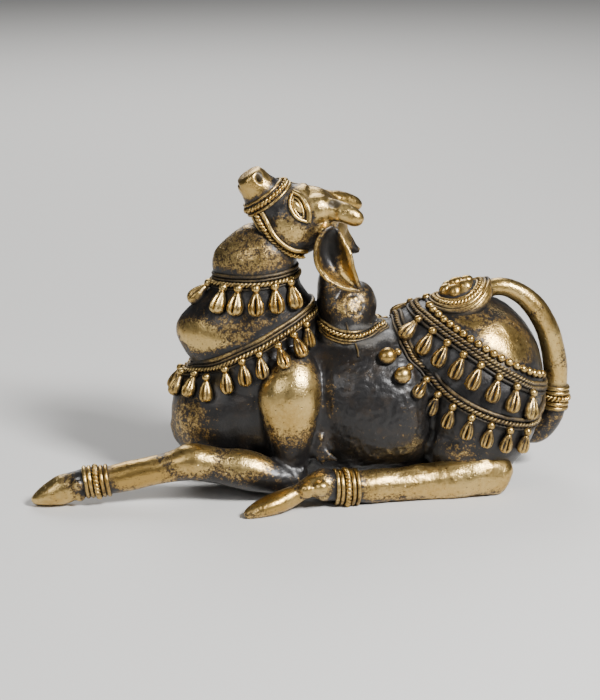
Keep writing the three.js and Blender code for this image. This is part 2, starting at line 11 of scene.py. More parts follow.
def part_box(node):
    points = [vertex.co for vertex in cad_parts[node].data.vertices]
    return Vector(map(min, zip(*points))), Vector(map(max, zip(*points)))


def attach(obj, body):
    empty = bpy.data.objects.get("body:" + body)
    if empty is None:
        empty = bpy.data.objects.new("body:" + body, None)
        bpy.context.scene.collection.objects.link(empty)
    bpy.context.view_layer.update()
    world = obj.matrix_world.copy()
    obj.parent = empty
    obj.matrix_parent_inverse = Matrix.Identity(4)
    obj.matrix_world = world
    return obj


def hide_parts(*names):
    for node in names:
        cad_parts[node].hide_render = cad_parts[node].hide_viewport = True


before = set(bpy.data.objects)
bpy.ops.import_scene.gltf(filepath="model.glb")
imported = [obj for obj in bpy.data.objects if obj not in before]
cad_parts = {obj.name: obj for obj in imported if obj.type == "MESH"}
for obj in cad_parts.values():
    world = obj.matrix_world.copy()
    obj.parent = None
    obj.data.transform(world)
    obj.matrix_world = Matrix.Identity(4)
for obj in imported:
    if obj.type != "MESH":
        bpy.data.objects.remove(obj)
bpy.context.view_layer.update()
print("frame loaded")

# Places are given in steps of a 150th of the figure's length, from the fore hoof's tip.
cadLow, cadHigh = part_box("nandi_bull")
step = (cadHigh.x - cadLow.x) / 151.74
hoofTip = -75       # where the rows' x starts
soleCut = 0.5       # how much of the rows is filed off below


def spot(x, y, z):
    return Vector((cadLow.x + (x - hoofTip) * step, y * step, cadLow.z + (z - soleCut) * step))


# ways of working

def letGo():
    if bpy.context.object and bpy.context.object.mode != "OBJECT":
        bpy.ops.object.mode_set(mode="OBJECT")
    bpy.ops.object.select_all(action="DESELECT")


def pick(pieces):
    letGo()
    for piece in pieces:
        piece.select_set(True)
    bpy.context.view_layer.objects.active = pieces[0]
    return pieces[0]


def joined(pieces, name):
    piece = pick(pieces)
    if len(pieces) > 1:
        bpy.ops.object.join()
    piece.name = name
    piece.data.name = name
    return piece


def modified(piece, kind, **settings):
    pick([piece])
    bpy.ops.object.modifier_add(type=kind)
    modifier = piece.modifiers[-1]
    for key, value in settings.items():
        setattr(modifier, key, value)
    bpy.ops.object.modifier_apply(modifier=modifier.name)
    return piece


def settled(piece):
    pick([piece])
    bpy.ops.object.transform_apply(location=True, rotation=True, scale=True)
    return piece


def outward(piece):
    pick([piece])
    bpy.ops.object.mode_set(mode="EDIT")
    bpy.ops.mesh.select_all(action="SELECT")
    bpy.ops.mesh.normals_make_consistent(inside=False)
    bpy.ops.object.mode_set(mode="OBJECT")
    return piece


def pointsOf(piece):
    flat = np.empty(len(piece.data.vertices) * 3, np.float32)
    piece.data.vertices.foreach_get("co", flat)
    return flat.reshape(-1, 3).astype(float)


def normalsOf(piece):
    flat = np.empty(len(piece.data.vertices) * 3, np.float32)
    piece.data.vertices.foreach_get("normal", flat)
    return flat.reshape(-1, 3).astype(float)


def setPoints(piece, points):
    piece.data.vertices.foreach_set("co", points.astype(np.float32).ravel())
    piece.data.update()


def treeOf(piece):
    mesh = bmesh.new()
    mesh.from_mesh(piece.data)
    tree = BVHTree.FromBMesh(mesh)
    mesh.free()
    return tree


def ballOf(segments, rings, radius=1):
    letGo()
    bpy.ops.mesh.primitive_uv_sphere_add(segments=segments, ring_count=rings, radius=radius)
    return bpy.context.object


def copied(model, place):
    # a copy with a mesh of its own, put in its place
    copy = bpy.data.objects.new(model.name, model.data.copy())
    bpy.context.scene.collection.objects.link(copy)
    copy.data.transform(place)
    return copy


farOut = 60         # further to the side than any piece reaches


def seenFromSide(skin, x, z, side):
    # the place on a mass that shows from its side, and the way out of the mass there
    return skin.ray_cast(spot(x, side * farOut, z), Vector((0, -side, 0)))[:2]


# wax masses

def smoothRows(rows, count):
    # rows in between, on a curve that passes through the given ones
    rows = np.array(rows, float)
    ends = np.vstack([2 * rows[0] - rows[1], rows, 2 * rows[-1] - rows[-2]])
    fine = []
    for i in range(len(rows) - 1):
        a, b, c, d = ends[i:i + 4]
        for t in np.arange(count) / count:
            fine.append(0.5 * (2 * b + (c - a) * t + (2 * a - 5 * b + 4 * c - d) * t ** 2
                               + (3 * b - a - 3 * c + d) * t ** 3))
    fine.append(rows[-1])
    return np.array(fine)


def ringPlaces(rows, level):
    # a matrix for each ring, from a flat unit circle to its section
    centres = [spot(*row[:3]) for row in rows]
    last = len(rows) - 1
    places = []
    for i, row in enumerate(rows):
        along = Vector((0, 0, 1))
        if not level:
            along = (centres[min(i + 1, last)] - centres[max(i - 1, 0)]).normalized()
        across = (Vector((0, 1, 0)) - along * along.y).normalized()
        upright = along.cross(across)
        wide, tall = max(row[3], 0.2) * step, max(row[4], 0.2) * step
        place = Matrix((across * wide, upright * tall, along * step)).transposed().to_4x4()
        place.translation = centres[i]
        places.append(place)
    return places


def pinch(height, keel):
    return 1 - keel * max(0, height) ** 1.5


def loft(rows, count=4, sides=28, level=False):
    # a disc is extruded from ring to ring, square to their path or level; a row is x, y, z,
    # half width, half height, keel
    rows = smoothRows([tuple(row) + (0,) * (6 - len(row)) for row in rows], count)
    letGo()
    bpy.ops.mesh.primitive_circle_add(vertices=sides, radius=1, fill_type="NGON")
    piece = bpy.context.object
    bpy.ops.object.mode_set(mode="EDIT")
    was, keelWas = Matrix.Identity(4), 0
    for i, (now, keel) in enumerate(zip(ringPlaces(rows, level), rows[:, 5])):
        if i:
            bpy.ops.mesh.extrude_region()
        mesh = bmesh.from_edit_mesh(piece.data)
        back = was.inverted()
        for vertex in mesh.verts:
            if vertex.select:
                flat = back @ vertex.co
                flat.x *= pinch(flat.y, keel) / pinch(flat.y, keelWas)
                vertex.co = now @ flat
        bmesh.update_edit_mesh(piece.data)
        was, keelWas = now, keel
    return outward(piece)


def lump(centre, radii):
    letGo()
    bpy.ops.mesh.primitive_uv_sphere_add(segments=32, ring_count=20, location=spot(*centre),
                                         scale=[r * step for r in radii])
    return settled(bpy.context.object)


def mirrored(rows):
    return [(row[0], -row[1]) + tuple(row[2:]) for row in rows]


def bothLofts(rows, **how):
    return [loft(rows, **how), loft(mirrored(rows), **how)]


def bothLumps(centre, radii):
    return [lump(centre, radii), lump(mirrored([centre])[0], radii)]


def fused(masses, name, grain, smoothing):
    # the masses are pressed into one skin, and the joins are smoothed as wax is by a warm tool
    piece = joined(masses, name)
    modified(piece, "REMESH", mode="VOXEL", voxel_size=grain * step, use_smooth_shade=True)
    modified(piece, "SMOOTH", factor=0.5, iterations=smoothing)
    return piece


def lineDistance(points, line, reach, between=6):
    # distance to a line of points, for those within reach; the rest get reach
    dense = [a.lerp(b, k / between) for a, b in zip(line, line[1:]) for k in range(between)] + [line[-1]]
    tree = KDTree(len(dense))
    for i, point in enumerate(dense):
        tree.insert(point, i)
    tree.balance()
    low = np.min(dense, axis=0) - reach
    high = np.max(dense, axis=0) + reach
    near = np.where(np.all((points > low) & (points < high), axis=1))[0]
    found = np.full(len(points), reach)
    for i in near:
        found[i] = min(reach, tree.find(points[i])[2])
    return found


def pressed(piece, line, width, depth):
    # a tool drawn along a line: it sinks the skin, or raises it where depth is negative
    points = pointsOf(piece)
    reach = 3 * width * step        # the tool leaves no mark past this
    away = lineDistance(points, line, reach)
    push = depth * step * np.exp(-(away / (width * step)) ** 2)
    push[away >= reach] = 0
    setPoints(piece, points - normalsOf(piece) * push[:, None])
    return piece


def grained(piece, size, height, share=1, stretch=(1, 1, 1)):
    # lumps of a size are raised and sunk by a height, as much as the share at each point
    points = pointsOf(piece)
    places = (points * stretch / (size * step)).tolist()
    bumps = np.array([noise.noise(place) for place in places])
    setPoints(piece, points + normalsOf(piece) * (bumps * share * height * step)[:, None])
    return piece


def uneven(piece, plan):
    # the unevenness that is all over a piece, as the sizes and heights of its lumps
    for size, height in plan["uneven"]:
        grained(piece, size, height)
    return piece


def filed(piece):
    # what would reach below the table is filed off flat
    points = pointsOf(piece)
    points[:, 2] = np.maximum(points[:, 2], cadLow.z)
    setPoints(piece, points)
    return piece


def patches(points, zones):
    # how much of the strongest zone each point has; a zone is x, y, z, three radii and a strength,
    # and the right side has the same ones
    found = np.zeros(len(points))
    for x, y, z, rx, ry, rz, strength in zones:
        radii = np.array((rx, ry, rz)) * step
        for side in {y, -y}:
            away = np.linalg.norm((points - np.array(spot(x, side, z))) / radii, axis=1)
            found = np.maximum(found, strength * np.clip(1.6 - 1.1 * away, 0, 1))
    return found


# the animal

body = {
    # where the brass is rubbed bright: places, radii and strength
    "gold": [(-4, -20.5, 29.6, 9.6, 8, 11.4, 1), (55.5, -15, 41.5, 9, 9, 6.5, 1),
             (46, -10, 48, 6, 8, 3.5, 0.7), (-28.5, -8, 43.6, 8, 9, 4.6, 0.85),
             (-13, -6, 65, 15, 12, 10, 0.5), (-14, -9, 50, 14, 8, 5, 0.46),
             (-31, -6, 22, 8, 10, 13, 0.47), (-20, -14, 44, 10, 8, 4, 0.5),
             (-31.2, -20.5, 13.4, 7, 7, 5, 1), (-46, -21, 9.6, 11, 7, 5, 0.95),
             (-17, -23, 12.5, 8, 5, 4.4, 0.66), (-68, -21, 4, 8, 7, 5, 0.85), (13, -8, 52, 6, 9, 5, 0.4),
             (44, -24, 16, 8, 6, 6, 0.3)],
    "lead": [(13, -8, 43.6, 13, 9, 3.4, 1), (24, -4, 45, 5, 6, 4, 0.8), (14, -8, 51, 7, 8, 5, 0.55),
             (-24, -8, 36, 10, 9, 3, 0.5), (-16, -8, 13.5, 14, 12, 3, 0.4)],
    "trunk": [(68.7, 0, 26, 1.4, 1.6), (68.4, 0, 26, 4.4, 5), (67.1, 0, 26, 9.6, 10.4),
              (65.2, 0, 26, 13.4, 15.2), (62.2, 0, 26, 16.8, 19.8), (56, 0, 26, 20.4, 24.3),
              (48, 0, 25.8, 21.6, 26.2), (40, 0, 25, 19, 25.6), (33, 0, 23, 16.8, 24),
              (26, 0, 20.6, 18, 22), (16, 0, 20, 20, 21.6), (4, 0, 20.4, 18, 21.4),
              (-8, 0, 20.4, 16.4, 20.4), (-18, 0, 20.4, 15.2, 18.4), (-27, 0, 20.4, 12, 15.4),
              (-33, 0, 20.6, 7.4, 11.2), (-36, 0, 21, 2.6, 5.4)],
    "neck": [(-12, 0, 18, 13, 18, 0.1), (-12.8, 0, 31, 14.8, 18.6, 0.25), (-12.6, 0, 34.3, 14.6, 17.8, 0.3),
             (-13.8, 0, 37.4, 14.4, 18.6, 0.35), (-14.6, 0, 40.4, 13.2, 19.3, 0.35),
             (-15, 0, 43.6, 13.2, 19.8, 0.35), (-14.6, 0, 47, 12.6, 19.3, 0.35),
             (-13.4, 0, 50.2, 12, 17.6, 0.35), (-12.6, 0, 53, 11.2, 15, 0.35),
             (-12, 0, 56, 10.2, 12.6, 0.35), (-12.2, 0, 59.2, 9.5, 11.7, 0.35),
             (-12.6, 0, 62, 9.7, 11.7, 0.35), (-12.2, 0, 66, 9.3, 11.4, 0.35),
             (-11, 0, 70, 7.4, 8.6, 0.35), (-11, 0, 73.4, 4, 4.2, 0.3)],
    "hump": [(13.4, 0, 34, 12, 11), (13.2, 0, 40, 10.6, 9.4), (13.1, 0, 44, 9.4, 8.2),
             (13.1, 0, 47.6, 9, 8), (13.3, 0, 50.6, 8.4, 8.2), (13.3, 0, 53.2, 7, 7.2),
             (13, 0, 55.2, 4.6, 5), (12.8, 0, 56.2, 1.6, 1.8)],
    "nape": [(8.8, 0, 46, 6.5, 3.8), (8.2, 0, 53, 6.2, 3.3), (8.2, 0, 58, 5, 3), (8.6, 0, 61.4, 2.2, 1.4)],
    "barrel": [(3, 0, 21, 12, 14), (7, 0, 21.4, 18.6, 19.4), (13, 0, 22, 22, 21.6),
               (20, 0, 22.4, 23.4, 22.4), (27, 0, 22.8, 23, 22), (31.6, 0, 23, 21, 20.6),
               (35.6, 0, 23.4, 16.4, 17.6), (38, 0, 23.6, 9, 10)],
    "shoulder": [(-0.4, -9, 39.4, 3.4, 3), (-1.6, -10.8, 36.4, 6, 5.8), (-2.8, -12.8, 32.6, 7.8, 7.6),
                 (-3.7, -14.2, 28.5, 8.2, 8.6), (-3.8, -14.9, 20, 7.6, 7.6), (-3.4, -15.2, 13.4, 6.4, 6),
                 (-3, -16, 8.6, 5.2, 4.8), (-2.6, -16.6, 5, 2.8, 2.8)],
    "stretchedLeg": [(0.6, -17.6, 5.8, 2.4, 2.6), (-3, -19, 6, 4.2, 3.8), (-8.4, -20, 6.6, 5, 4.6),
                     (-15.4, -20.2, 8.8, 5.4, 5.7), (-22, -20.2, 10, 5, 5.2),
                     (-26.6, -20.2, 11, 4.8, 4.9), (-31.4, -20.3, 11.8, 4.9, 4.9),
                     (-36, -20.3, 10.8, 4.3, 4.4), (-46, -20.4, 8.6, 3.9, 4.1),
                     (-56, -20.6, 7.1, 3.6, 3.7), (-60.2, -20.7, 7.1, 3.5, 3.8),
                     (-62.6, -20.9, 6.9, 3.1, 3.3), (-64.4, -21, 5.9, 3.5, 3.9),
                     (-66.6, -21, 4.9, 3.8, 4.2), (-70, -21, 3.6, 3.5, 3.3), (-73.6, -21, 2.3, 2.2, 1.7),
                     (-75, -21, 1.9, 0.8, 0.7)],
    "foldedLeg": [(6, 14, 14, 6, 6.5), (-8, 17, 10, 5.4, 5.8), (-22, 18.5, 8.4, 4.7, 4.9),
                  (-29, 19.4, 7, 4.3, 4.7), (-32.4, 19.8, 5.6, 2, 2.4)],
    "tuckedShank": [(-31.6, 20.6, 4.4, 1.8, 2.2), (-28, 21.8, 3.9, 3.5, 3.7), (-20, 22.8, 3.5, 3.3, 3.5),
                    (-12, 23, 3.5, 3.3, 3.5), (-7, 22.8, 3.6, 2.7, 2.9), (-2, 22.2, 3.2, 3.3, 3.2),
                    (3, 21, 2.6, 2.5, 2.5), (4.8, 20.4, 2.2, 0.9, 0.9)],
    "haunch": [(49.8, -12.5, 22.4), (15.6, 11.8, 19.4)],
    "thigh": [(46, -14.6, 12.6), (12.6, 8.6, 10.4)],
    "chest": [(-20, 0, 19), (16.6, 14.6, 17.5)],
    # torn skin of wax between the shoulder and the barrel, in two crossing folds
    "webAcross": [(-0.6, -16.6, 14.6, 1.5, 2.6), (4.4, -18.6, 12.8, 1.3, 2.4), (7, -19.4, 11.8, 0.9, 1.2),
                  (9.2, -19.6, 11.1, 0.5, 0.45)],
    "webDown": [(4.2, -17, 18.4, 1.6, 1.8), (4.4, -18.6, 13, 1.3, 2.2), (4.7, -20, 10.4, 0.6, 0.8),
                (4.8, -20.4, 9.2, 0.35, 0.4)],
    "crumbs": [[(4.4, -18.6, 17.2), (0.9, 1, 1.2)], [(22, -3, 46), (1, 1, 0.8)],
               [(23.6, -3.6, 44), (0.8, 0.8, 0.7)], [(-0.6, -20.6, 8.8), (1, 0.8, 0.7)],
               [(-62.2, -24.2, 7.4), (1.9, 1.7, 2)], [(-61.8, -22.6, 3.6), (1.5, 1.6, 1.5)],
               [(-7.6, 25.6, 4.4), (1.9, 1.7, 1.9)]],
    "creases": [[(36.6, -19, 30), (34.6, -20, 22.6), (34.4, -20.5, 18), (33, -21, 13.6)]],
    "creaseTool": (0.9, 0.9),       # width and depth
    # a small flower scratched into the side of the hump: centre, radius, petals, places along
    # a petal, and the scratch's width and depth
    "rosette": ((14.4, 51.8), 2.5, 7, (0.25, 0.6, 0.95), (0.36, 0.24)),
    "grain": 0.57,          # spacing of the skin's points
    "smoothing": 6,
    "uneven": [(11, 0.5), (2.6, 0.1)],
    "leatherGrain": (1.1, 0.22),
    # where the cast skin is leathery
    "leather": [(21, -20, 24, 17, 14, 22, 1), (42, -18, 12, 12, 12, 12, 0.8), (-3, -18, 9, 10, 8, 8, 0.8)],
}


def scratchRosette(piece):
    (x, z), radius, petals, shares, tool = body["rosette"]
    skin = treeOf(piece)
    lines = [[(radius * math.cos(t), radius * math.sin(t)) for t in np.linspace(0, 2 * math.pi, 25)]]
    for turn in 2 * math.pi * np.arange(petals) / petals:
        lines.append([(r * radius * math.cos(turn), r * radius * math.sin(turn)) for r in shares])
    for side in (-1, 1):
        for line in lines:
            pressed(piece, [seenFromSide(skin, x + dx, z + dz, side)[0] for dx, dz in line], *tool)


def makeBody():
    masses = [loft(body["trunk"], sides=40), loft(body["neck"], sides=36, level=True),
              loft(body["hump"], sides=36), loft(body["nape"]), loft(body["barrel"], sides=40),
              lump(*body["chest"])]
    masses += bothLofts(body["shoulder"]) + bothLumps(*body["haunch"]) + bothLumps(*body["thigh"])
    masses += [loft(body[name]) for name in ("stretchedLeg", "foldedLeg", "tuckedShank")]
    masses += [loft(body["webAcross"]), loft(body["webDown"])]
    masses += [lump(*crumb) for crumb in body["crumbs"]]
    piece = fused(masses, "bull_body", body["grain"], body["smoothing"])
    for crease in body["creases"]:
        for rows in (crease, mirrored(crease)):
            pressed(piece, [spot(*row) for row in rows], *body["creaseTool"])
    scratchRosette(piece)
    leather = patches(pointsOf(piece), body["leather"])
    grained(uneven(piece, body), *body["leatherGrain"], leather)
    return filed(piece)


def coarse(rowsList, lumps, level=()):
    # the masses that a garland goes round, for finding its way over them
    masses = [loft(rows, count=3, sides=24) for rows in rowsList] + lumps
    masses += [loft(rows, count=3, sides=24, level=True) for rows in level]
    piece = joined(masses, "guide")
    tree = treeOf(piece)
    bpy.data.objects.remove(piece)
    return tree


hindLeg = {
    "gold": [(38, -23, 6, 22, 8, 6.4, 1), (53, -19, 7, 8, 9, 7, 1), (21, -25, 6, 12, 7, 5, 0.8),
             (-9, -31, 4, 10, 7, 5, 0.85), (2, -29, 7, 5, 5, 4, 0.8)],
    "lead": [(11, -25, 0, 14, 9, 3, 0.4)],
    "rows": [(57.3, -18.4, 3.8, 0.6, 0.6), (57, -18.4, 3.9, 2, 2.2), (56, -18.5, 4.3, 3.8, 4.2),
             (54, -18.8, 5, 5.1, 5.6), (50, -19.3, 5.8, 5.7, 6.3), (43, -20.5, 5.6, 5.5, 5.9),
             (33, -21.8, 5, 5, 5.1), (20, -23.6, 4.8, 4.5, 4.6), (11, -25.1, 5, 4.2, 4.4),
             (7.2, -25.7, 5.6, 4.2, 4.3), (4.4, -26.4, 6.5, 4.5, 4.6), (2, -27, 6.6, 3.5, 3.6),
             (0, -27.6, 6.2, 2.6, 2.8), (-2.2, -28.4, 5.3, 2.5, 2.5), (-5, -29.4, 4.2, 3, 2.8),
             (-9, -31.2, 3.2, 3.4, 2.7), (-13, -33, 2.4, 3, 2.3), (-16, -34.5, 1.8, 1.9, 1.6),
             (-17.3, -35.1, 1.6, 0.8, 0.8)],
    "knobs": [(3.6, -30.2, 6.9), (-0.4, -30.2, 6.4)],
    "knob": (2.1, 1.9, 2),
    "grain": 0.42,
    "smoothing": 4,
    "uneven": [(7, 0.45), (1.6, 0.09)],
}


def makeHindLeg(side, name):
    facing = mirrored if side > 0 else (lambda rows: rows)
    masses = [loft(facing(hindLeg["rows"]), sides=32)]
    masses += [lump(centre, hindLeg["knob"]) for centre in facing(hindLeg["knobs"])]
    piece = fused(masses, name, hindLeg["grain"], hindLeg["smoothing"])
    return filed(uneven(piece, hindLeg))


tail = {
    "gold": [(60, 0, 53, 14, 7, 7, 1), (69.5, 0, 40, 6, 7, 12, 1), (72.5, 0, 26, 6, 7, 9, 0.9),
             (70, 0, 13, 7, 7, 7, 0.2)],
    "rows": [(49, 0, 52.4, 2.4, 2.2), (55, 0, 54.4, 2.6, 2.4), (60, 0, 53.2, 2.9, 2.8),
             (65.6, 0, 48.6, 3.2, 3.1), (70, 0, 41, 3.4, 3.3), (72.2, 0, 31.5, 3.4, 3.4),
             (72.7, 0, 22, 3.1, 3.1), (71.6, 0, 16, 3.6, 3.4), (67.6, 0, 11.4, 3.4, 3.2),
             (62, 0, 10.4, 2.3, 2.1)],
    "grain": 0.42,
    "smoothing": 3,
    "uneven": [(8, 0.3), (1.6, 0.06)],
}


def makeTail():
    piece = fused([loft(tail["rows"], count=6, sides=32)], "tail", tail["grain"], tail["smoothing"])
    return filed(uneven(piece, tail))


head = {
    "gold": [(-14, -3, 86, 6.5, 8, 6, 1), (3, -6, 82, 8, 8, 5.5, 1), (11, -7, 78, 10, 8, 6, 1),
             (-4, -9, 73, 6, 6, 4.6, 0.75), (-1.4, -8, 79, 3.4, 5, 5, 0.7), (3, -8, 74.5, 5, 6, 4, 0.6)],
    "lead": [(-6.5, -7, 77.5, 3, 5, 3.4, 0.5), (6, -6, 70, 5, 7, 4, 0.4)],
    # dark: painted shade in the nostrils, at the mouth, in the horn valley and under the horn, under the
    # jaw and by the brow
    "dark": [(-11.4, -4, 87.5, 1.2, 4, 1.8, 1), (8.8, -8, 80.6, 2.2, 4, 1.4, 1),
             (8.4, -9, 75.6, 2, 4, 1.2, 0.9), (-16.4, 0, 87.4, 2.6, 3, 2.6, 0.5),
             (-8, -5, 72.6, 5, 5, 3, 0.6), (2, -6, 84, 2, 4, 1.4, 0.5)],
    "skull": [(9.8, 0, 77.6, 3.6, 3.9), (7, 0, 76.8, 6.6, 7.1), (1.5, 0, 75.5, 8.5, 8.9, 0.1),
              (-3, 0, 76.8, 8.2, 8.7, 0.2), (-6.4, 0, 79, 6.9, 7.2, 0.2), (-9.5, 0, 81.7, 5.6, 5.6, 0.1),
              (-11.8, 0, 84, 5, 4.8), (-13.5, 0, 86, 4.9, 4.5), (-14.5, 0, 87.1, 4.4, 3.8),
              (-14.9, 0, 87.6, 3, 2.5)],
    "cheek": [(-2.2, -4.4, 73.8), (7, 4.7, 7.6)],
    "jaw": [(-14.6, 0, 82.8, 3.2, 1.8), (-13.2, 0, 80.4, 3.4, 2.1), (-11, 0, 76.8, 4.5, 2.8),
            (-8.6, 0, 72.6, 5.8, 3.3), (-5.4, 0, 69.4, 6.7, 3.7), (-1, 0, 67.8, 6.8, 3.4),
            (4, 0, 69.4, 5.4, 3)],
    "brow": [(4.2, -4.2, 78.3), (5, 4.5, 4.4)],
    "browEdge": [(0.8, -4, 80), (3.4, 3, 2.8)],
    "poll": [(6.8, -1.6, 77.2), (4.4, 4, 3.8)],
    "horn": [(4, -3.4, 79, 3, 3), (9, -5.6, 78.4, 3, 3), (12.2, -6.9, 77.5, 2.8, 2.85),
             (14.6, -7.7, 76.6, 2.4, 2.5), (16, -8, 76.2, 1.7, 1.8), (16.8, -8.1, 76, 0.6, 0.6)],
    "farHorn": (1.1, 0.5),       # how much further back and up the right one's tip is
    "hornValley": [(8.8, -7, 81.2), (8.9, -8, 79.6), (8.4, -8.6, 78), (7.6, -8.8, 76.2)],
    "earStub": [(6.2, -6, 73.4), (2.4, 3.4, 2)],
    "nostril": [(-11.6, -4.9, 88.2), (-11.4, -5, 87.5), (-11.1, -5, 86.9)],
    "mouth": [(-17.6, 0, 85), (-17.2, -2.6, 84.4), (-15.9, -4.2, 82.8), (-14.7, -4.8, 81.3)],
    # what is drawn along these lines, with which width and depth; the nostril's rim is raised first
    "tools": [("nostril", 1.7, -0.5), ("nostril", 0.8, 2.2), ("mouth", 0.45, 0.9),
              ("hornValley", 1.1, 0.8)],
    "grain": 0.32,
    "smoothing": 11,
    "uneven": [(5, 0.2), (1, 0.06)],
}


def makeHead():
    masses = [loft(head["skull"], sides=36), loft(head["jaw"], sides=32), loft(head["horn"])]
    back, up = head["farHorn"]
    shares = np.linspace(0, 1, len(head["horn"]))
    masses += [loft([(x + back * share, y, z + up * share, wide, tall) for (x, y, z, wide, tall), share
                     in zip(mirrored(head["horn"]), shares)])]
    for lumpName in ("cheek", "brow", "browEdge", "poll", "earStub"):
        masses += bothLumps(*head[lumpName])
    piece = fused(masses, "bull_head", head["grain"], head["smoothing"])
    for side in (1, -1):
        for line, width, depth in head["tools"]:
            pressed(piece, [spot(x, y * side, z) for x, y, z in head[line]], width, depth)
    return uneven(piece, head)


ear = {
    "gold": [(12, -12, 65, 3.2, 5, 8, 1), (8, -11, 62, 5, 5, 2.4, 0.7), (4.6, -12.6, 66, 1.8, 4, 7, 0.6)],
    # x, y, z of the middle, half width, depth of the bowl
    "rows": [(8.8, -9.6, 74.2, 0.7, 0.2), (8.5, -10.4, 73.7, 1.8, 1), (8, -11.2, 72.4, 2.9, 2.4),
             (7.6, -12, 69.9, 4.1, 4.2), (8.1, -12.8, 66.8, 4.7, 5.2), (9.4, -13.3, 64, 4.3, 4.8),
             (10.8, -13.7, 62.1, 3.5, 3.9), (12.5, -13.9, 60.4, 2.4, 2.4), (14.3, -14, 58.8, 1, 0.9),
             (15.4, -14, 57.9, 0.25, 0.1)],
    # dark: painted shade in the ear's bowl beside the head
    "dark": [(7.4, -8.6, 69.6, 2.8, 4, 4.6, 1)],
    "bowlPower": 2.8,        # the higher, the flatter the bowl's floor
    "wall": 1.1,
    "rim": 0.62,
    "swing": (2, 4),         # how much further back and up the right ear's tip is
}


def makeEar(side):
    rows = smoothRows(ear["rows"], 5)
    if side > 0:
        rows[:, 0] += np.linspace(0, ear["swing"][0], len(rows))
        rows[:, 2] += np.linspace(0, ear["swing"][1], len(rows))
    rows[:, 1] *= -side
    lastRow, acrossCount = len(rows) - 1, 13
    letGo()
    bpy.ops.mesh.primitive_grid_add(x_subdivisions=acrossCount - 1, y_subdivisions=lastRow, size=2)
    piece = bpy.context.object
    centres = [spot(*row[:3]) for row in rows]
    rim = {-1: [], 1: []}
    for vertex in piece.data.vertices:
        share = vertex.co.x
        i = round((vertex.co.y + 1) / 2 * lastRow)
        along = (centres[min(i + 1, lastRow)] - centres[max(i - 1, 0)]).normalized()
        across = Vector((0, side, 0)).cross(along).normalized() * side
        inward = Vector((0, -side, 0))
        bowl = (1 - abs(share) ** ear["bowlPower"]) * rows[i][4] * step
        vertex.co = centres[i] + across * share * rows[i][3] * step + inward * bowl
        if abs(abs(share) - 1) < 0.001:
            rim[round(share)].append((i, vertex.co.copy()))
    modified(piece, "SOLIDIFY", thickness=ear["wall"] * step, offset=0)
    modified(piece, "SUBSURF", levels=1, render_levels=1)
    edge = [co for _, co in sorted(rim[-1], key=lambda pair: pair[0])]
    edge += [co for _, co in sorted(rim[1], key=lambda pair: -pair[0])]
    return [outward(piece), strung([(edge, ear["rim"], True)])]


# threads, ropes and bells

def strung(strands, sides=1):
    # round threads along lines of points, made as one bevelled curve and turned to mesh; a
    # strand is its line, its radius and whether it is closed
    data = bpy.data.curves.new("thread", "CURVE")
    data.dimensions = "3D"
    data.bevel_depth = step
    data.bevel_resolution = sides
    data.use_fill_caps = True
    for line, radius, closed in strands:
        spline = data.splines.new("POLY")
        spline.points.add(len(line) - 1)
        spline.use_cyclic_u = closed
        for point, place in zip(spline.points, line):
            point.co = (*place, 1)
            point.radius = radius
    piece = bpy.data.objects.new("thread", data)
    bpy.context.scene.collection.objects.link(piece)
    pick([piece])
    bpy.ops.object.convert(target="MESH")
    return outward(bpy.context.object)


class Trail:
    # a line on the skin: points, the way out of the skin at each, and lengths along it
    def __init__(self, points, outs, closed, smoothing=3):
        self.closed = closed
        self.points = np.array(points, float)
        self.outs = np.array(outs, float)
        for _ in range(smoothing):
            self.points = self.eased(self.points)
        for _ in range(smoothing * 12):         # the way out turns slower than the line
            self.outs = self.eased(self.outs)
        if closed:
            self.points = np.vstack([self.points, self.points[:1]])
            self.outs = np.vstack([self.outs, self.outs[:1]])
        gaps = np.linalg.norm(np.diff(self.points, axis=0), axis=1)
        self.lengths = np.concatenate([[0], np.cumsum(gaps)])
        self.total = self.lengths[-1]

    def eased(self, rows):
        if self.closed:
            return (np.roll(rows, 1, 0) + 2 * rows + np.roll(rows, -1, 0)) / 4
        middle = (rows[:-2] + 2 * rows[1:-1] + rows[2:]) / 4
        return np.vstack([rows[:1], middle, rows[-1:]])

    def held(self, length):
        # round a closed line, and no further than the ends of an open one
        return length % self.total if self.closed else min(max(length, 0), self.total)

    def read(self, rows, length):
        return Vector([np.interp(self.held(length), self.lengths, rows[:, k]) for k in range(3)])

    def mark(self, length):
        # the place, the way out, the way along and the way up at a length
        s = self.held(length)
        at, out = self.read(self.points, s), self.read(self.outs, s).normalized()
        ahead = self.total / len(self.lengths)
        run = (self.read(self.points, s + ahead) - self.read(self.points, s - ahead)).normalized()
        out = (out - run * out.dot(run)).normalized()
        return at, out, run, out.cross(run)

    def nearest(self, place):
        # the length at which the line passes a place
        return self.lengths[np.argmin(np.linalg.norm(self.points - np.array(place), axis=1))]

    def marks(self, pitch):
        count = max(2, round(self.total / pitch))
        last = count if self.closed else count + 1
        return [self.mark(self.total * i / count) for i in range(last)]


girdling = {
    "spokes": 260, "start": 0.3,     # no spoke runs along an edge of the guide
    "far": 150, "sagPower": 1.4,
    # the skin is looked for from above the guide down to below it, where both face the same way
    "above": 4, "reach": 6, "facing": 0.3,
}


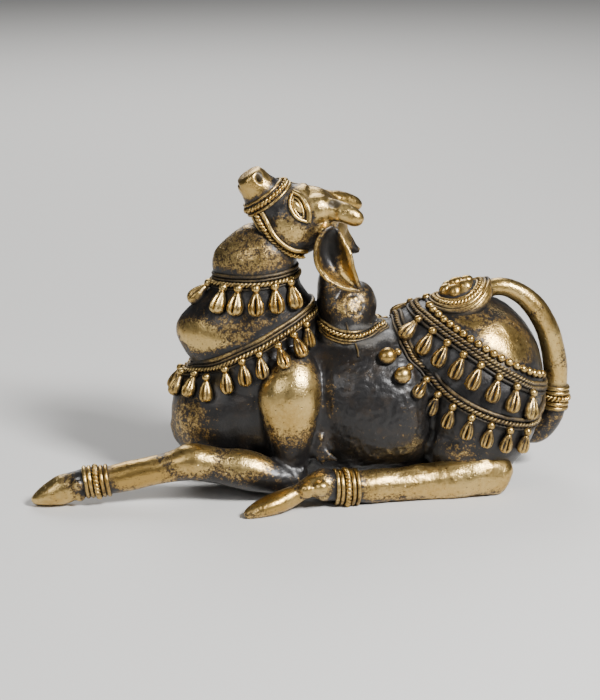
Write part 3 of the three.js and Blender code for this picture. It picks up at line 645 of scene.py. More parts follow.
def girdle(guide, skin, plane):
    # where a tilted plane meets the masses; it starts at the front and passes the left side first
    tilt = math.radians(plane["slope"])
    back = Vector((math.cos(tilt), 0, math.sin(tilt)))
    above = Vector((-math.sin(tilt), 0, math.cos(tilt)))
    points, outs = [], []
    for i in range(girdling["spokes"]):
        turn = 2 * math.pi * (i + girdling["start"]) / girdling["spokes"]
        spoke = Vector((0, -math.sin(turn), 0)) - back * math.cos(turn)
        sag = plane["sag"] * step * abs(math.sin(turn)) ** girdling["sagPower"]
        hub = spot(plane["x"], 0, plane["z"]) - above * sag
        found, out = guide.ray_cast(hub + spoke * girdling["far"] * step, -spoke)[:2]
        start, reach = found + out * girdling["above"] * step, girdling["reach"] * step
        near, normal = skin.ray_cast(start, -out, reach)[:2]
        if near is None or normal.dot(out) < girdling["facing"]:
            near, normal = found, out
        points.append(near)
        outs.append(normal)
    return Trail(points, outs, True)


def sideTrail(skin, places, side, count=12, closed=False):
    # a line drawn on the side of a mass, through places x, z
    rows = smoothRows(list(places) + ([places[0]] if closed else []), count)
    points, outs = [], []
    for x, z in rows[:-1] if closed else rows:
        found, normal = seenFromSide(skin, x, z, side)
        if found:
            points.append(found)
            outs.append(normal)
    return Trail(points, outs, closed, 2)


threadPitch = 0.7       # spacing of a thread's points


def beside(trail, side, skin):
    # a line on the skin that keeps a distance from another one
    marks = trail.marks(threadPitch * step)
    found = [skin.find_nearest(at + up * side * step) for at, out, run, up in marks]
    return Trail([place[0] for place in found], [place[1] for place in found], trail.closed, 2)


def wire(trail, side, radius, rise=0.3, pitch=threadPitch):
    line = [at + up * side * step + out * rise * step for at, out, run, up in trail.marks(pitch * step)]
    return [(line, radius, trail.closed)]


twist = {"points": 9, "apart": 0.5, "thick": 0.56}      # points per turn, shares of a rope's radius


def rope(trail, side, radius, rise=0.45, lay=2.3):
    # two strands wound round each other, with a whole turn in each lay
    strands = []
    turns = max(1, round(trail.total / (lay * step)))
    marks = trail.marks(lay / twist["points"] * step)
    for start in (0, math.pi):
        line = []
        for i, (at, out, run, up) in enumerate(marks):
            angle = start - 2 * math.pi * turns * i / len(marks)
            wind = up * math.cos(angle) + out * math.sin(angle)
            line.append(at + (up * side + out * rise + wind * radius * twist["apart"]) * step)
        strands.append((line, radius * twist["thick"], trail.closed))
    return strands


def band(trail, plan):
    strands = []
    for side, radius in plan["wires"]:
        strands += wire(trail, side, radius)
    for side, radius in plan["ropes"]:
        strands += rope(trail, side, radius)
    return strands


bell = {
    # height and radius as shares, from the foot up
    "profile": [(-0.5, 0), (-0.48, 0.22), (-0.42, 0.37), (-0.32, 0.465), (-0.2, 0.5), (-0.06, 0.495),
                (0.08, 0.45), (0.22, 0.38), (0.34, 0.3), (0.44, 0.235), (0.52, 0.19), (0.58, 0)],
    "sides": 34,
    # depth as a share of the radius, and width in radians; the slit is in front
    "slit": (0.72, 0.25),
    "groove": (0.2, 0.12),
    "grooves": (0.78, 2.2),             # the way round to them from the slit
    "cut": (-0.06, 0.36, 18),           # middle, half height and sharpness of their ends
    "gather": 0.5,                      # how far the points are drawn towards the slit
    "neck": 0.55, "lap": 0.8,           # where the ball sits, and how much of its radius shows above that
    "ballSides": (16, 10),
}


def makeBell(length, width, ball):
    # a pear shape spun from its profile, slit in front, under a round ball; it hangs from the origin
    piece = ballOf(bell["sides"], len(bell["profile"]) - 1)
    heights = np.arccos(np.clip(pointsOf(piece)[:, 2], -1, 1)) / math.pi * (len(bell["profile"]) - 1)
    rows = np.array(bell["profile"])[::-1]
    (slitDeep, slitWide), (grooveDeep, grooveWide) = bell["slit"], bell["groove"]
    middle, half, sharp = bell["cut"]
    for vertex, place in zip(piece.data.vertices, heights):
        row = rows[round(place)]
        turn = math.atan2(vertex.co.x, -vertex.co.y)
        turn -= bell["gather"] * math.sin(turn)
        cut = 1 / (1 + math.exp(-sharp * (half - abs(row[0] - middle))))
        swell = 1 - slitDeep * math.exp(-(turn / slitWide) ** 4) * cut
        for way in bell["grooves"]:
            swell -= grooveDeep * math.exp(-((abs(turn) - way) / grooveWide) ** 2) * cut
        radius = row[1] * width * swell
        vertex.co = (radius * math.sin(turn), -radius * math.cos(turn), row[0] * length)
    piece.data.transform(Matrix.Translation((0, 0, -bell["neck"] * length - bell["lap"] * ball)))
    piece = joined([piece, ballOf(*bell["ballSides"], ball)], "bell")
    setPoints(piece, pointsOf(piece) * step)
    return outward(piece)


def makeDrop(radius, ball):
    # the plain round drops in front of the haunch, a little flat and long
    drop = ballOf(26, 16, radius)
    drop.data.transform(Matrix.Translation((0, 0, -radius - 0.6 * ball))
                        @ Matrix.Diagonal((1, 0.9, 1.06, 1)))
    piece = joined([drop, ballOf(*bell["ballSides"], ball)], "drop")
    setPoints(piece, pointsOf(piece) * step)
    return piece


# how far out and in the skin is looked for behind a hanging bell, at how many places down to
# which share of its length, and what is taken where it isn't met
hanging = {"out": 13, "reach": 18, "places": 5, "down": 1.1, "unmet": -2}


def hung(model, mark, skin, plan):
    # a copy of a bell below a mark of its band: it leans with the skin as far as its plan lets it
    at, out, run, up = mark
    plumb = (Vector((0, 0, 1)) - out * out.z).normalized()
    upward = up.lerp(plumb, plan["plumb"]).normalized()
    upward = (upward - out * upward.dot(out)).normalized()
    top, length = at - upward * plan["drop"] * step, plan["bell"][0] * step
    downs, heights = np.linspace(0, hanging["down"] * length, hanging["places"]), []
    for down in downs:
        hook = top - upward * down
        found = skin.ray_cast(hook + out * hanging["out"] * step, -out, hanging["reach"] * step)[0]
        heights.append((found - hook).dot(out) if found else hanging["unmet"] * step)
    lean = min(max((heights[0] - heights[-1]) / downs[-1], -plan["lean"]), plan["lean"])
    clear = max(height + lean * down for height, down in zip(heights, downs))
    line = (upward + out * lean).normalized()
    outer = (out - line * out.dot(line)).normalized()
    place = Matrix((outer.cross(line), -outer, line)).transposed().to_4x4()
    place.translation = top + out * (clear + plan["lift"] * step)
    copy = copied(model, place)
    if place.determinant() < 0:
        copy.data.flip_normals()
    return copy


garlands = {
    # a plane's place, slope in degrees and sag at the sides; threads as way up and radius; a
    # bell's length, width and ball, how far it drops, stands off, turns plumb and may lean;
    # where one hangs, their spacing, and how many hang before and after it; round drops, as
    # radius and ball, take the first places
    "neck": {"x": -12, "z": 59.2, "slope": 5.5, "sag": 0,
             "wires": [(1.75, 0.52), (0.72, 0.36), (-1.7, 0.34)], "ropes": [(-0.5, 0.78)],
             "bell": (6.3, 4.6, 1.25), "drop": 1.3, "lift": 1, "plumb": 0.6, "lean": 1.1,
             "anchor": (-12.6, -10, 56.8), "pitch": 4.7, "before": 2, "after": 2, "middle": 1},
    "chest": {"x": -14.5, "z": 40.9, "slope": 27, "sag": 0,
              "wires": [(1.75, 0.6), (0.7, 0.4), (-1.75, 0.34)], "ropes": [(-0.55, 0.78)],
              "bell": (5.8, 3.9, 1.12), "drop": 1.6, "lift": 1, "plumb": 0.6, "lean": 0.5,
              "anchor": (-6.2, -14.5, 41.8), "pitch": 5.1, "before": 6, "after": 2},
    "rump": {"x": 48.5, "z": 37.3, "slope": -31.2, "sag": 0.1,
             "wires": [(0, 0.5)], "ropes": [(1.35, 0.74), (2.65, 0.74)],
             "bell": (6.2, 4.3, 1.2), "drop": 0.3, "lift": 1.2, "plumb": 0.3, "lean": 0.6,
             "anchor": (47.6, -20.5, 37.6), "pitch": 5.5, "before": 4, "after": 3},
    "haunch": {"x": 45.75, "z": 34.5, "slope": -30.3, "sag": 9.1,
               "wires": [(2.75, 0.6), (0, 0.42)], "ropes": [(1.3, 0.76)],
               "bell": (5.4, 3.7, 1.15), "drop": 0.3, "lift": 1.2, "plumb": 0.35, "lean": 0.5,
               "anchor": (45.5, -24.5, 24.2), "pitch": 5.5, "before": 5, "after": 3,
               "drops": (2.4, 1.1), "dropCount": 2, "dropFall": 2.6, "dropShift": (1.2, -0.6)},
}


def hangingPlaces(trail, plan):
    # lengths along the left half, spaced from where one is seen to hang, and their twins
    start, pitch = trail.nearest(spot(*plan["anchor"])), plan["pitch"] * step
    left = [start + k * pitch for k in range(-plan["before"], plan["after"] + 1)]
    return left, [trail.total - length for length in left], [0] * plan.get("middle", 0)


def makeGarland(name, guide, skin):
    plan = garlands[name]
    trail = girdle(guide, skin, plan)
    parts = [strung(band(trail, plan))]
    models = [makeBell(*plan["bell"])]
    if "drops" in plan:
        models = [makeDrop(*plan["drops"])] * plan["dropCount"] + models
    for places in hangingPlaces(trail, plan):
        for i, length in enumerate(places):
            model = models[min(i, len(models) - 1)]
            hang = plan
            if i < plan.get("dropCount", 0):
                hang = dict(plan, drop=plan["dropFall"], plumb=0)
                length += plan["dropShift"][i] * step * (1 if places[0] < places[-1] else -1)
            parts.append(hung(model, trail.mark(length), skin, hang))
    for model in set(models):
        bpy.data.objects.remove(model)
    return joined(parts, "garland_" + name)


beadRow = {"x": 50.5, "z": 41.1, "slope": -30.6, "sag": 0.3, "radius": 1.22, "rise": 0.45,
           "anchor": (47.5, -17, 42.2), "pitch": 2.45, "before": 8, "after": 10}


def makeBeads(guide, skin):
    trail = girdle(guide, skin, beadRow)
    model = ballOf(*bell["ballSides"], beadRow["radius"] * step)
    parts = []
    for places in hangingPlaces(trail, beadRow):
        for length in places:
            at, out, run, up = trail.mark(length)
            parts.append(copied(model, Matrix.Translation(at + out * beadRow["rise"] * step)))
    bpy.data.objects.remove(model)
    return joined(parts, "bead_row")


collar = {"x": 13, "z": 45.8, "slope": -4.5, "sag": 2.5,
          "wires": [(1.4, 0.46), (-1, 0.4), (-1.8, 0.42)], "ropes": [(0.2, 0.74)],
          # runs of wax on the hump's left side: x and z of their points, and radius and rise
          "drips": [[(12.1, 47.4), (12.7, 45), (13, 42.6)], [(14.6, 41.6), (15, 40.4), (15.1, 39)]],
          "drip": (0.3, 0.1)}


def makeCollar(guide, skin):
    strands = band(girdle(guide, skin, collar), collar)
    for drip in collar["drips"]:
        strands += wire(sideTrail(skin, drip, -1), 0, *collar["drip"])
    return joined([strung(strands)], "hump_collar")


bridle = {
    "nose": {"x": -9.2, "z": 81.3, "slope": 37, "sag": 0},
    "noseWires": [(1.5, 0.44), (-1.35, 0.46)],
    "noseRope": (0.05, 0.8),
    # the strap under the cheek: x and z of its points, and its threads as way down and radius
    "strap": [(-10.7, 78), (-9, 74.9), (-7.2, 71.8), (-4.6, 69.3), (-1.9, 67.8), (1.4, 67.1)],
    "strapWires": [(0, 0.7), (3.1, 0.38)],
    "strapRope": (1.75, 0.8),
    "strapLay": 2,
}


def makeBridle(guide, skin):
    trail = girdle(guide, skin, bridle["nose"])
    strands = rope(trail, *bridle["noseRope"])
    for side, radius in bridle["noseWires"]:
        strands += wire(trail, side, radius)
    for side in (-1, 1):
        strap = sideTrail(skin, bridle["strap"], side)
        for down, radius in bridle["strapWires"]:
            strands += wire(beside(strap, side * down, skin), 0, radius)
        down, radius = bridle["strapRope"]
        strands += rope(beside(strap, side * down, skin), 0, radius, lay=bridle["strapLay"])
    return joined([strung(strands)], "bridle")


eye = {
    "ball": [(-1, 79.6), (2.3, 1, 1), -58],       # centre x, z, radii, lean
    # x and z of the points of the rim and of the folds below and above it
    "rim": [(-2.3, 82.1), (-2.5, 80.3), (-1.4, 78.1), (0.1, 77), (0.2, 79.1), (-0.9, 81.4)],
    "lower": [(-2.6, 82.8), (-3.3, 80.8), (-2.6, 78.5), (-0.8, 76.7), (1.6, 75.9)],
    "upper": [(-2.2, 83.2), (-0.2, 82.4), (1.3, 80.3), (1.9, 78.1), (1.6, 75.9)],
    "threads": {"rim": (0.3, 0.3), "lower": (0.5, 0.2), "upper": (0.85, 0.1)},       # radius and rise
    "pitch": 0.4,
}


def makeEyes(skin):
    strands, parts = [], []
    for side in (-1, 1):
        for name, (radius, rise) in eye["threads"].items():
            trail = sideTrail(skin, eye[name], side, closed=name == "rim")
            strands += wire(trail, 0, radius, rise, eye["pitch"])
        (x, z), radii, lean = eye["ball"]
        found = seenFromSide(skin, x, z, side)[0]
        ball = ballOf(20, 14)
        ball.data.transform(Matrix.Translation(found) @ Matrix.Rotation(math.radians(-lean), 4, "Y")
                            @ Matrix.Diagonal([r * step for r in radii] + [1]))
        parts.append(ball)
    return joined([strung(strands, sides=2)] + parts, "eyes")


medallion = {
    "centre": (44.1, 0, 53.6), "lean": 19.5,
    # radius and height of the disc's edges, from below up
    "disc": [(9.5, -2.6), (9.5, -0.5), (8.8, 0.1), (6.3, 0.35), (5.4, 0.7), (4.6, 1.6), (3, 2.5), (0, 2.9)],
    "wires": [(9.1, 0.5, 0), (8.1, 0.5, 0.2), (5.9, 0.42, 0.5)],     # ring radius, radius, height
    "rope": (7, 0.8, 0.35),
    "ropeLay": 2.1,
    "petal": (1.85, 1.75, 1.35), "reach": 3.5, "rise": 1.7, "topRise": 2.5, "petals": 6, "petalLean": 26,
    "firstPetal": 0.2,       # where the first petal stands, as a share of the way to the next
    "bend": 0.04,            # how it drapes over the rump, by the square of the way sideways
}


def wayRound(turn):
    return Vector((math.cos(turn), math.sin(turn), 0))


def makeMedallion():
    letGo()
    bpy.ops.mesh.primitive_circle_add(vertices=60, radius=medallion["disc"][0][0] * step, fill_type="NGON",
                                      location=(0, 0, medallion["disc"][0][1] * step))
    disc = settled(bpy.context.object)
    bpy.ops.object.mode_set(mode="EDIT")
    for (wide, height), (nextWide, nextHeight) in zip(medallion["disc"], medallion["disc"][1:]):
        bpy.ops.mesh.extrude_region()
        bpy.ops.transform.translate(value=(0, 0, (nextHeight - height) * step))
        share = max(nextWide, 0.02) / wide
        bpy.ops.transform.resize(value=(share, share, 1))
    bpy.ops.object.mode_set(mode="OBJECT")
    parts = [outward(disc)]
    for i in range(medallion["petals"] + 1):
        turn = 2 * math.pi * (i + medallion["firstPetal"]) / medallion["petals"]
        place, lean = Vector((medallion["reach"], 0, medallion["rise"])), medallion["petalLean"]
        if i == medallion["petals"]:
            place, lean = Vector((0, 0, medallion["topRise"])), 0
        petal = ballOf(24, 14)
        petal.data.transform(Matrix.Rotation(turn, 4, "Z") @ Matrix.Translation(place * step)
                             @ Matrix.Rotation(math.radians(lean), 4, "Y")
                             @ Matrix.Diagonal([r * step for r in medallion["petal"]] + [1]))
        parts.append(petal)
    ring = [wayRound(t) for t in np.linspace(0, 2 * math.pi, 91)[:-1]]
    strands = [([(way * wide + Vector((0, 0, height))) * step for way in ring], radius, True)
               for wide, radius, height in medallion["wires"]]
    wide, radius, height = medallion["rope"]
    turns = round(2 * math.pi * wide / medallion["ropeLay"])
    for start in (0, math.pi):
        line = []
        for t in np.linspace(0, 2 * math.pi, turns * twist["points"] + 1)[:-1]:
            way, angle = wayRound(t), start + turns * t
            wind = way * math.cos(angle) + Vector((0, 0, math.sin(angle)))
            line.append((way * wide + Vector((0, 0, height)) + wind * radius * twist["apart"]) * step)
        strands.append((line, radius * twist["thick"], True))
    parts.append(strung(strands))
    piece = joined(parts, "rump_medallion")
    points = pointsOf(piece)
    points[:, 2] -= medallion["bend"] / step * points[:, 1] ** 2
    setPoints(piece, points)
    piece.data.transform(Matrix.Translation(spot(*medallion["centre"]))
                         @ Matrix.Rotation(math.radians(-medallion["lean"]), 4, "Y"))
    return piece


anklets = {
    # centre, the way the limb runs, places of the wires and of the rope along it
    "fore": [(-57, -20.6, 7), (1, 0, 0.16)],
    "tucked": [(-14, 23, 3.6), (1, 0, 0)],
    "tail": [(72.7, 0, 22), (0.08, 0, 1)],
    "hindLeft": [(10.8, -25.1, 5), (1, 0.15, -0.02)],
    "hindRight": [(10.8, 25.1, 5), (1, -0.15, -0.02)],
    "wires": [-3, -1.7, 1.45, 2.8], "rope": -0.1, "radius": 0.62,
    "ropeHow": (0.85, 0.5, 1.9),        # radius, rise and lay
    "reach": 6, "loose": 3.9,           # how far out the limb's skin is looked for, else taken to be
}


def limbTrail(skin, centre, way, offset, count=48):
    way = Vector(way).normalized()
    across = way.orthogonal().normalized()
    other = way.cross(across)
    hub = spot(*centre) + way * offset * step
    points, outs = [], []
    for i in range(count):
        turn = 2 * math.pi * i / count
        spoke = across * math.cos(turn) + other * math.sin(turn)
        found = skin.ray_cast(hub, spoke, anklets["reach"] * step)[0]
        points.append(found or hub + spoke * anklets["loose"] * step)
        outs.append(spoke)
    return Trail(points, outs, True, 1)


def makeAnklet(name, skin):
    centre, way = anklets[name]
    strands = []
    for offset in anklets["wires"]:
        strands += wire(limbTrail(skin, centre, way, offset), 0, anklets["radius"])
    strands += rope(limbTrail(skin, centre, way, anklets["rope"]), 0, *anklets["ropeHow"])
    return strung(strands)


# the sculpting, from the large masses to the threads

bodyPiece = makeBody()
headPiece = makeHead()
hindLeft = makeHindLeg(-1, "hind_leg_left")
hindRight = makeHindLeg(1, "hind_leg_right")
tailPiece = makeTail()
ears = joined([part for side in (-1, 1) for part in makeEar(side)], "ears")
print("animal made")

bodySkin, headSkin = treeOf(bodyPiece), treeOf(headPiece)
frontGuide = coarse([body["trunk"]], [lump(*body["chest"])] + bothLofts(body["shoulder"], count=3),
                    [body["neck"]])
hindGuide = coarse([body["trunk"], body["barrel"]], bothLumps(*body["haunch"]))
humpGuide = coarse([body["hump"]], [])
faceGuide = coarse([head["skull"]], [])

guides = {"neck": frontGuide, "chest": frontGuide, "rump": hindGuide, "haunch": hindGuide}
pieces = {name: makeGarland(name, guide, bodySkin) for name, guide in guides.items()}
pieces["beads"] = makeBeads(hindGuide, bodySkin)
pieces["collar"] = makeCollar(humpGuide, bodySkin)
pieces["bridle"] = makeBridle(faceGuide, headSkin)
pieces["eyes"] = makeEyes(headSkin)
pieces["medallion"] = makeMedallion()
limbs = {"fore": bodySkin, "tucked": bodySkin, "tail": treeOf(tailPiece), "hindLeft": treeOf(hindLeft),
         "hindRight": treeOf(hindRight)}
pieces["anklets"] = joined([makeAnklet(name, skin) for name, skin in limbs.items()], "anklets")
for piece in pieces.values():
    filed(piece)
print("ornaments made")

allPieces = [bodyPiece, headPiece, hindLeft, hindRight, tailPiece, ears] + list(pieces.values())


# wear, dirt and painted shade

def edgesOf(piece):
    flat = np.empty(len(piece.data.edges) * 2, np.int32)
    piece.data.edges.foreach_get("vertices", flat)
    return flat[::2], flat[1::2]


def blurred(values, edges, rounds):
    # each point takes the mean of its neighbours, again and again
    first, second = edges
    count = len(values)
    degree = np.maximum(np.bincount(first, minlength=count) + np.bincount(second, minlength=count), 1)
    for _ in range(rounds):
        columns = [np.bincount(first, values[second, k], count)
                   + np.bincount(second, values[first, k], count) for k in range(values.shape[1])]
        values = np.stack(columns, axis=1) / degree[:, None]
    return values


def hollows(piece, rounds, depth):
    # how far each point lies below the smoothed skin; negative on ridges
    points = pointsOf(piece)
    soft = blurred(points, edgesOf(piece), rounds)
    return ((soft - points) * normalsOf(piece)).sum(axis=1) / (depth * step)


def keep(piece, name, values):
    layer = piece.data.attributes.new(name, "FLOAT", "POINT")
    layer.data.foreach_set("value", np.clip(values, 0, 1).astype(np.float32))


def nearTo(points, places, reach):
    # 1 at the places, falling to 0 at a reach
    tree = KDTree(len(places))
    for i, place in enumerate(places):
        tree.insert(place, i)
    tree.balance()
    return np.array([max(0, 1 - tree.find(point)[2] / (reach * step)) for point in points.tolist()])


wearAndShade = {
    # smoothing rounds and depth of a full hollow: broad and fine ones, and those of the ornaments
    "broad": (30, 1.1), "fine": (5, 0.12), "threads": (3, 0.14),
    "ornamentReach": 2.6,               # how far round the threads and bells the rubbing is less and the painted shade lies
    # shares for broad hollows, fine hollows and nearness to an ornament: less rubbing, and more soot with
    # painted shade
    "lessRub": (0.25, 0.14, 0.35), "moreSootAndShade": (0.8, 0.35, 0.75),
    "sootAndShadeFrom": (0.25, 0.35),           # how deep broad and fine hollows are before the soot and painted shade stay
    # on the ornaments: what all of the rub and top light has, and shares for height (wear), for facing up
    # (painted top light) and for hollows
    "threadRubAndTopLight": (0.1, 0.44, 0.16, 0.35),
    # shares for depth near the skin (painted shade with patina), for facing up (painted shade on the faces
    # that look down) and for hollows (patina and painted shade)
    "threadSootAndShade": (0.95, 0.1, 0.9), "threadLead": 0.45,
}


def weatherAndShade(piece, plan, ornaments):
    # bright where hands and cloths reach; dark in hollows, as patina and painted shade, and round the
    # ornaments, as their painted shade
    points = pointsOf(piece)
    broad, fine = hollows(piece, *wearAndShade["broad"]), hollows(piece, *wearAndShade["fine"])
    gold = patches(points, plan["gold"])
    near = nearTo(points, ornaments, wearAndShade["ornamentReach"])
    inBroad, inFine, around = wearAndShade["lessRub"]
    rubAndTopLight = gold - inBroad * np.clip(broad, -1, 1) - inFine * np.clip(fine, -1, 1)
    keep(piece, "rubAndTopLight", rubAndTopLight - around * near)
    inBroad, inFine, around = wearAndShade["moreSootAndShade"]
    broadFrom, fineFrom = wearAndShade["sootAndShadeFrom"]
    # the hollows get soot with painted shade, the skin round the ornaments gets painted shade, and the
    # plan's dark patches are painted shade too
    soot = inBroad * np.clip(broad - broadFrom, 0, 1) + inFine * np.clip(fine - fineFrom, 0, 1)
    keep(piece, "soot", np.maximum(soot + around * near, patches(points, plan.get("dark", []))))
    keep(piece, "lead", patches(points, plan.get("lead", [])))


def weatherAndShadeOrnament(piece, skins, low, high):
    # an ornament is bright where it stands high, from a low to a high rise, as wear, and lighter on faces
    # that look up, as painted top light; it is dark where it meets the skin and on faces that look down, as
    # painted shade with some patina
    points = pointsOf(piece)
    heights = np.full(len(points), np.inf)
    for skin in skins:
        for i, point in enumerate(points.tolist()):
            found = skin.find_nearest(point, 4 * step)
            if found[0] is not None:
                rise = (Vector(point) - found[0]).dot(found[1]) / step
                heights[i] = min(heights[i], rise)
    height = np.clip((heights - low) / (high - low), 0, 1)
    fine = np.clip(hollows(piece, *wearAndShade["threads"]), -1, 1)
    facing = normalsOf(piece)[:, 2]
    base, high, up, hollow = wearAndShade["threadRubAndTopLight"]
    # the facing-up share paints top light on the ornaments
    keep(piece, "rubAndTopLight", base + high * height + up * facing - hollow * fine)
    low, up, hollow = wearAndShade["threadSootAndShade"]
    # painted shade near the skin and on the faces that look down, with patina in the hollows
    keep(piece, "soot", low * (1 - height) ** 1.4 - up * facing + hollow * np.clip(fine - 0.05, 0, 1))
    keep(piece, "lead", wearAndShade["threadLead"] * (1 - height))


# metal

class Flow:
    # a socket that is reckoned with by signs
    def __init__(self, net, socket):
        self.net, self.socket = net, socket

    def maths(self, operation, first, second):
        return self.net.add("Math", {"operation": operation}, {0: first, 1: second})

    def __add__(self, other):
        return self.maths("ADD", self, other)

    def __sub__(self, other):
        return self.maths("SUBTRACT", self, other)

    def __mul__(self, other):
        return self.maths("MULTIPLY", self, other)

    def __rsub__(self, other):
        return self.maths("SUBTRACT", other, self)

    __radd__ = __add__
    __rmul__ = __mul__


class Net:
    # the nodes of one material
    def __init__(self, name):
        self.material = bpy.data.materials.new(name)
        self.material.use_nodes = True
        self.tree = self.material.node_tree
        self.shader = self.tree.nodes["Principled BSDF"]

    def give(self, socket, value):
        if isinstance(value, Flow):
            self.tree.links.new(value.socket, socket)
        elif isinstance(value, tuple) and len(socket.default_value) == 4:
            socket.default_value = (*value, 1)
        else:
            socket.default_value = value

    def add(self, kind, settings, inputs, out=0):
        node = self.tree.nodes.new("ShaderNode" + kind)
        for key, value in settings.items():
            setattr(node, key, value)
        for key, value in inputs.items():
            self.give(node.inputs[key], value)
        return Flow(self, node.outputs[out])

    def mixed(self, share, first, second):
        return self.add("Mix", {"data_type": "RGBA"}, {0: share, 6: first, 7: second}, 2)

    def between(self, value, low, high):
        return self.add("MapRange", {"interpolation_type": "SMOOTHSTEP"},
                        {"Value": value, "From Min": low, "From Max": high})

    def kept(self, name):
        return self.add("Attribute", {"attribute_name": name}, {}, 2)


metal = {
    # colours, the darkest of them for soot, painted shade and pits, and how much rub makes worn and bright
    # metal
    "brass": (0.47, 0.3, 0.09), "paleBrass": (0.63, 0.45, 0.175),
    "worn": (0.24, 0.155, 0.06), "wornDark": (0.07, 0.047, 0.025),
    "patina": (0.012, 0.011, 0.011), "patinaWarm": (0.026, 0.018, 0.012),
    "lead": (0.2, 0.19, 0.175), "soot": (0.004, 0.0035, 0.003),
    "wornFrom": (0.3, 0.55), "brightFrom": (0.5, 0.85),
    "sizes": {"cloud": 16, "blot": 4.2, "dot": 1.1, "pit": 1.5},        # of what breaks up the finish
    "roughness": 0.4, "coat": 0.3, "coatRoughness": 0.28, "relief": 0.25,
}


def oldBrass(name, grain, pitDepth, speckle):
    # polished brass over worn brown metal over dark patina, broken up by pits and speckles, and darkened by
    # soot and painted shade
    net = Net(name)
    place = net.add("TexCoord", {}, {}, 3)

    def noised(size, detail, roughness=0.55):
        return net.add("TexNoise", {}, {"Vector": place, "Scale": 1 / (size * step), "Detail": detail,
                                        "Roughness": roughness})

    sizes = metal["sizes"]
    cloud, blot, dot = noised(sizes["cloud"], 3), noised(sizes["blot"], 4), noised(sizes["dot"], 3, 0.7)
    grit = noised(grain, 2)
    pits = net.add("TexVoronoi", {}, {"Vector": place, "Scale": 1 / (sizes["pit"] * step), "Randomness": 1})
    rubAndTopLight, soot, lead = net.kept("rubAndTopLight"), net.kept("soot"), net.kept("lead")

    # the rub attribute is wear, and on the ornaments also painted top light
    worn = rubAndTopLight + (cloud - 0.5) * 0.3 + (blot - 0.5) * 0.35 + (dot - 0.5) * speckle + (grit - 0.5) * speckle
    half = net.between(worn, *metal["wornFrom"])
    bright = net.between(worn, *metal["brightFrom"])
    # this mask is soot together with painted shade, from the attribute
    dirtAndShade = net.between(soot + (blot - 0.5) * 0.5 + (dot - 0.5) * 0.4, 0.3, 0.85)
    pale = net.between(lead + (blot - 0.5) * 0.9 + (grit - 0.5) * 0.5, 0.4, 0.95)
    pitted = 1 - net.between(pits + (grit - 0.5) * 0.25, 0.1, 0.2)
    pitted = pitted * net.between(blot + (cloud - 0.5) * 0.6, 0.5, 0.64)

    dark = net.mixed(net.between(blot, 0.45, 0.75), metal["patina"], metal["patinaWarm"])
    dark = net.mixed(pale * 0.75, dark, metal["lead"])
    brown = net.mixed(net.between(dot, 0.4, 0.62), metal["wornDark"], metal["worn"])
    gold = net.mixed(net.between(cloud + (dot - 0.5) * 0.5, 0.35, 0.7), metal["brass"], metal["paleBrass"])
    colour = net.mixed(bright, net.mixed(half, dark, brown), gold)
    colour = net.mixed(dirtAndShade * 0.92, colour, metal["soot"])
    colour = net.mixed(pitted * 0.8, colour, metal["soot"])

    cleanAndUnshaded = (1 - dirtAndShade * 0.8) * (1 - pitted)
    roughness = metal["roughness"] - bright * 0.1 + (dot - 0.5) * 0.2
    roughness = roughness + dirtAndShade * 0.2 + pitted * 0.2 + pale * 0.12
    height = grit * 0.5 + dot * 0.6 - pitted * 1.2 + blot * 0.4
    bump = net.add("Bump", {}, {"Strength": pitDepth, "Distance": metal["relief"] * step, "Height": height})
    sockets = {"Base Color": colour, "Metallic": (half * 0.4 + bright * 0.2 + 0.4) * cleanAndUnshaded,
               "Roughness": roughness, "Coat Weight": (1 - half) * (1 - dirtAndShade) * metal["coat"],
               "Coat Roughness": metal["coatRoughness"], "Normal": bump}
    for socket, value in sockets.items():
        net.give(net.shader.inputs[socket], value)
    return net.material


# finish

skinPieces = [(bodyPiece, body), (headPiece, head), (hindLeft, hindLeg), (hindRight, hindLeg),
              (tailPiece, tail), (ears, ear)]
ornamentPoints = np.vstack([pointsOf(piece)[::3] for piece in pieces.values()]).tolist()
skinTrees = [treeOf(piece) for piece, plan in skinPieces]
for piece, plan in skinPieces:
    weatherAndShade(piece, plan, ornamentPoints)
# how far above the skin an ornament starts to be bright, and where it is brightest; below these it is
# darkened as painted shade
rises = {"neck": (0.2, 2.2), "chest": (0.2, 2.2), "rump": (0.5, 3.4), "haunch": (0.3, 3), "beads": (0, 1.6),
         "collar": (0.1, 1.4), "bridle": (0, 1.1), "eyes": (-0.1, 0.8), "medallion": (0.4, 3.4),
         "anklets": (0, 1.1)}
for name, piece in pieces.items():
    weatherAndShadeOrnament(piece, skinTrees, *rises[name])
print("wear laid on")

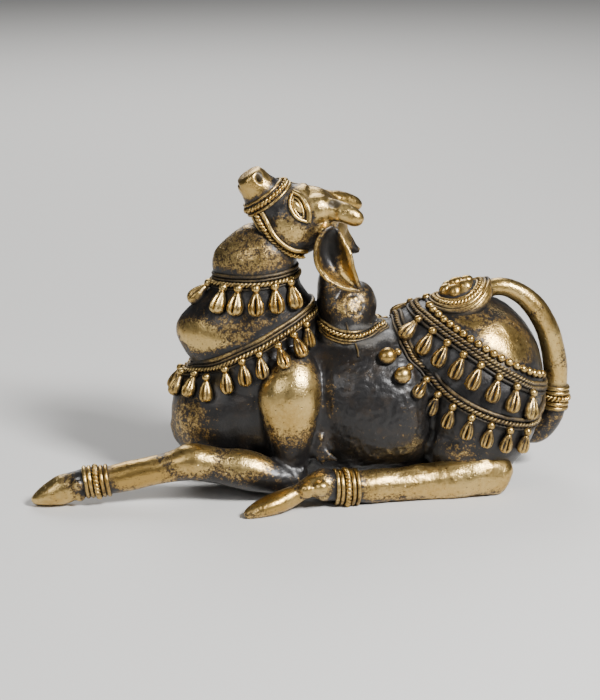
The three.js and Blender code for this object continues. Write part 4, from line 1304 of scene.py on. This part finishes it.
hideBrass = oldBrass("cast_hide", grain=0.5, pitDepth=0.6, speckle=0.95)
threadBrass = oldBrass("cast_threads", grain=0.35, pitDepth=0.35, speckle=0.5)
for piece in allPieces:
    pick([piece])
    bpy.ops.object.shade_smooth()
    piece.data.materials.clear()
    piece.data.materials.append(threadBrass if piece in pieces.values() else hideBrass)
    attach(piece, "root")
    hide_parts("nandi_bull")
    print(piece.name, sum(len(face.vertices) - 2 for face in piece.data.polygons), "triangles")


# room, light and camera

room = {"floor": 3, "floorColour": (0.6, 0.59, 0.57), "floorRoughness": 0.8,
        "sky": (0.75, 0.77, 0.8, 1), "skyStrength": 0.09}

letGo()
bpy.ops.mesh.primitive_plane_add(size=room["floor"], location=(0, 0, cadLow.z))
floor = bpy.context.object
floor.name = "floor"
matt = Net("pale_floor")
matt.give(matt.shader.inputs["Base Color"], room["floorColour"])
matt.give(matt.shader.inputs["Roughness"], room["floorRoughness"])
floor.data.materials.append(matt.material)

world = bpy.data.worlds.new("sky")
world.use_nodes = True
world.node_tree.nodes["Background"].inputs["Color"].default_value = room["sky"]
world.node_tree.nodes["Background"].inputs["Strength"].default_value = room["skyStrength"]
bpy.context.scene.world = world

lamps = [
    # place, size, watts
    ((0.36, -0.36, 0.5), 0.16, 11),
    ((-0.5, -0.5, 0.5), 0.35, 1.8),
    ((-0.05, 0.6, 0.5), 0.5, 4.5),
]
aim = Vector((0, 0, 0.035))
for place, size, watts in lamps:
    letGo()
    bpy.ops.object.light_add(type="AREA", location=place)
    lamp = bpy.context.object
    lamp.data.size = size
    lamp.data.energy = watts
    lamp.rotation_euler = (aim - Vector(place)).to_track_quat("-Z", "Y").to_euler()

view = {"azimuth": -4, "elevation": 17, "distance": 0.65, "lens": 119.4, "target": (-0.00087, 0, 0.0365)}
azimuth, elevation = math.radians(view["azimuth"]), math.radians(view["elevation"])
away = Vector((math.sin(azimuth) * math.cos(elevation), -math.cos(azimuth) * math.cos(elevation),
               math.sin(elevation)))
letGo()
bpy.ops.object.camera_add(location=Vector(view["target"]) + away * view["distance"])
camera = bpy.context.object
camera.rotation_euler = (-away).to_track_quat("-Z", "Y").to_euler()
camera.data.lens = view["lens"]
camera.data.sensor_width = 36
bpy.context.scene.camera = camera
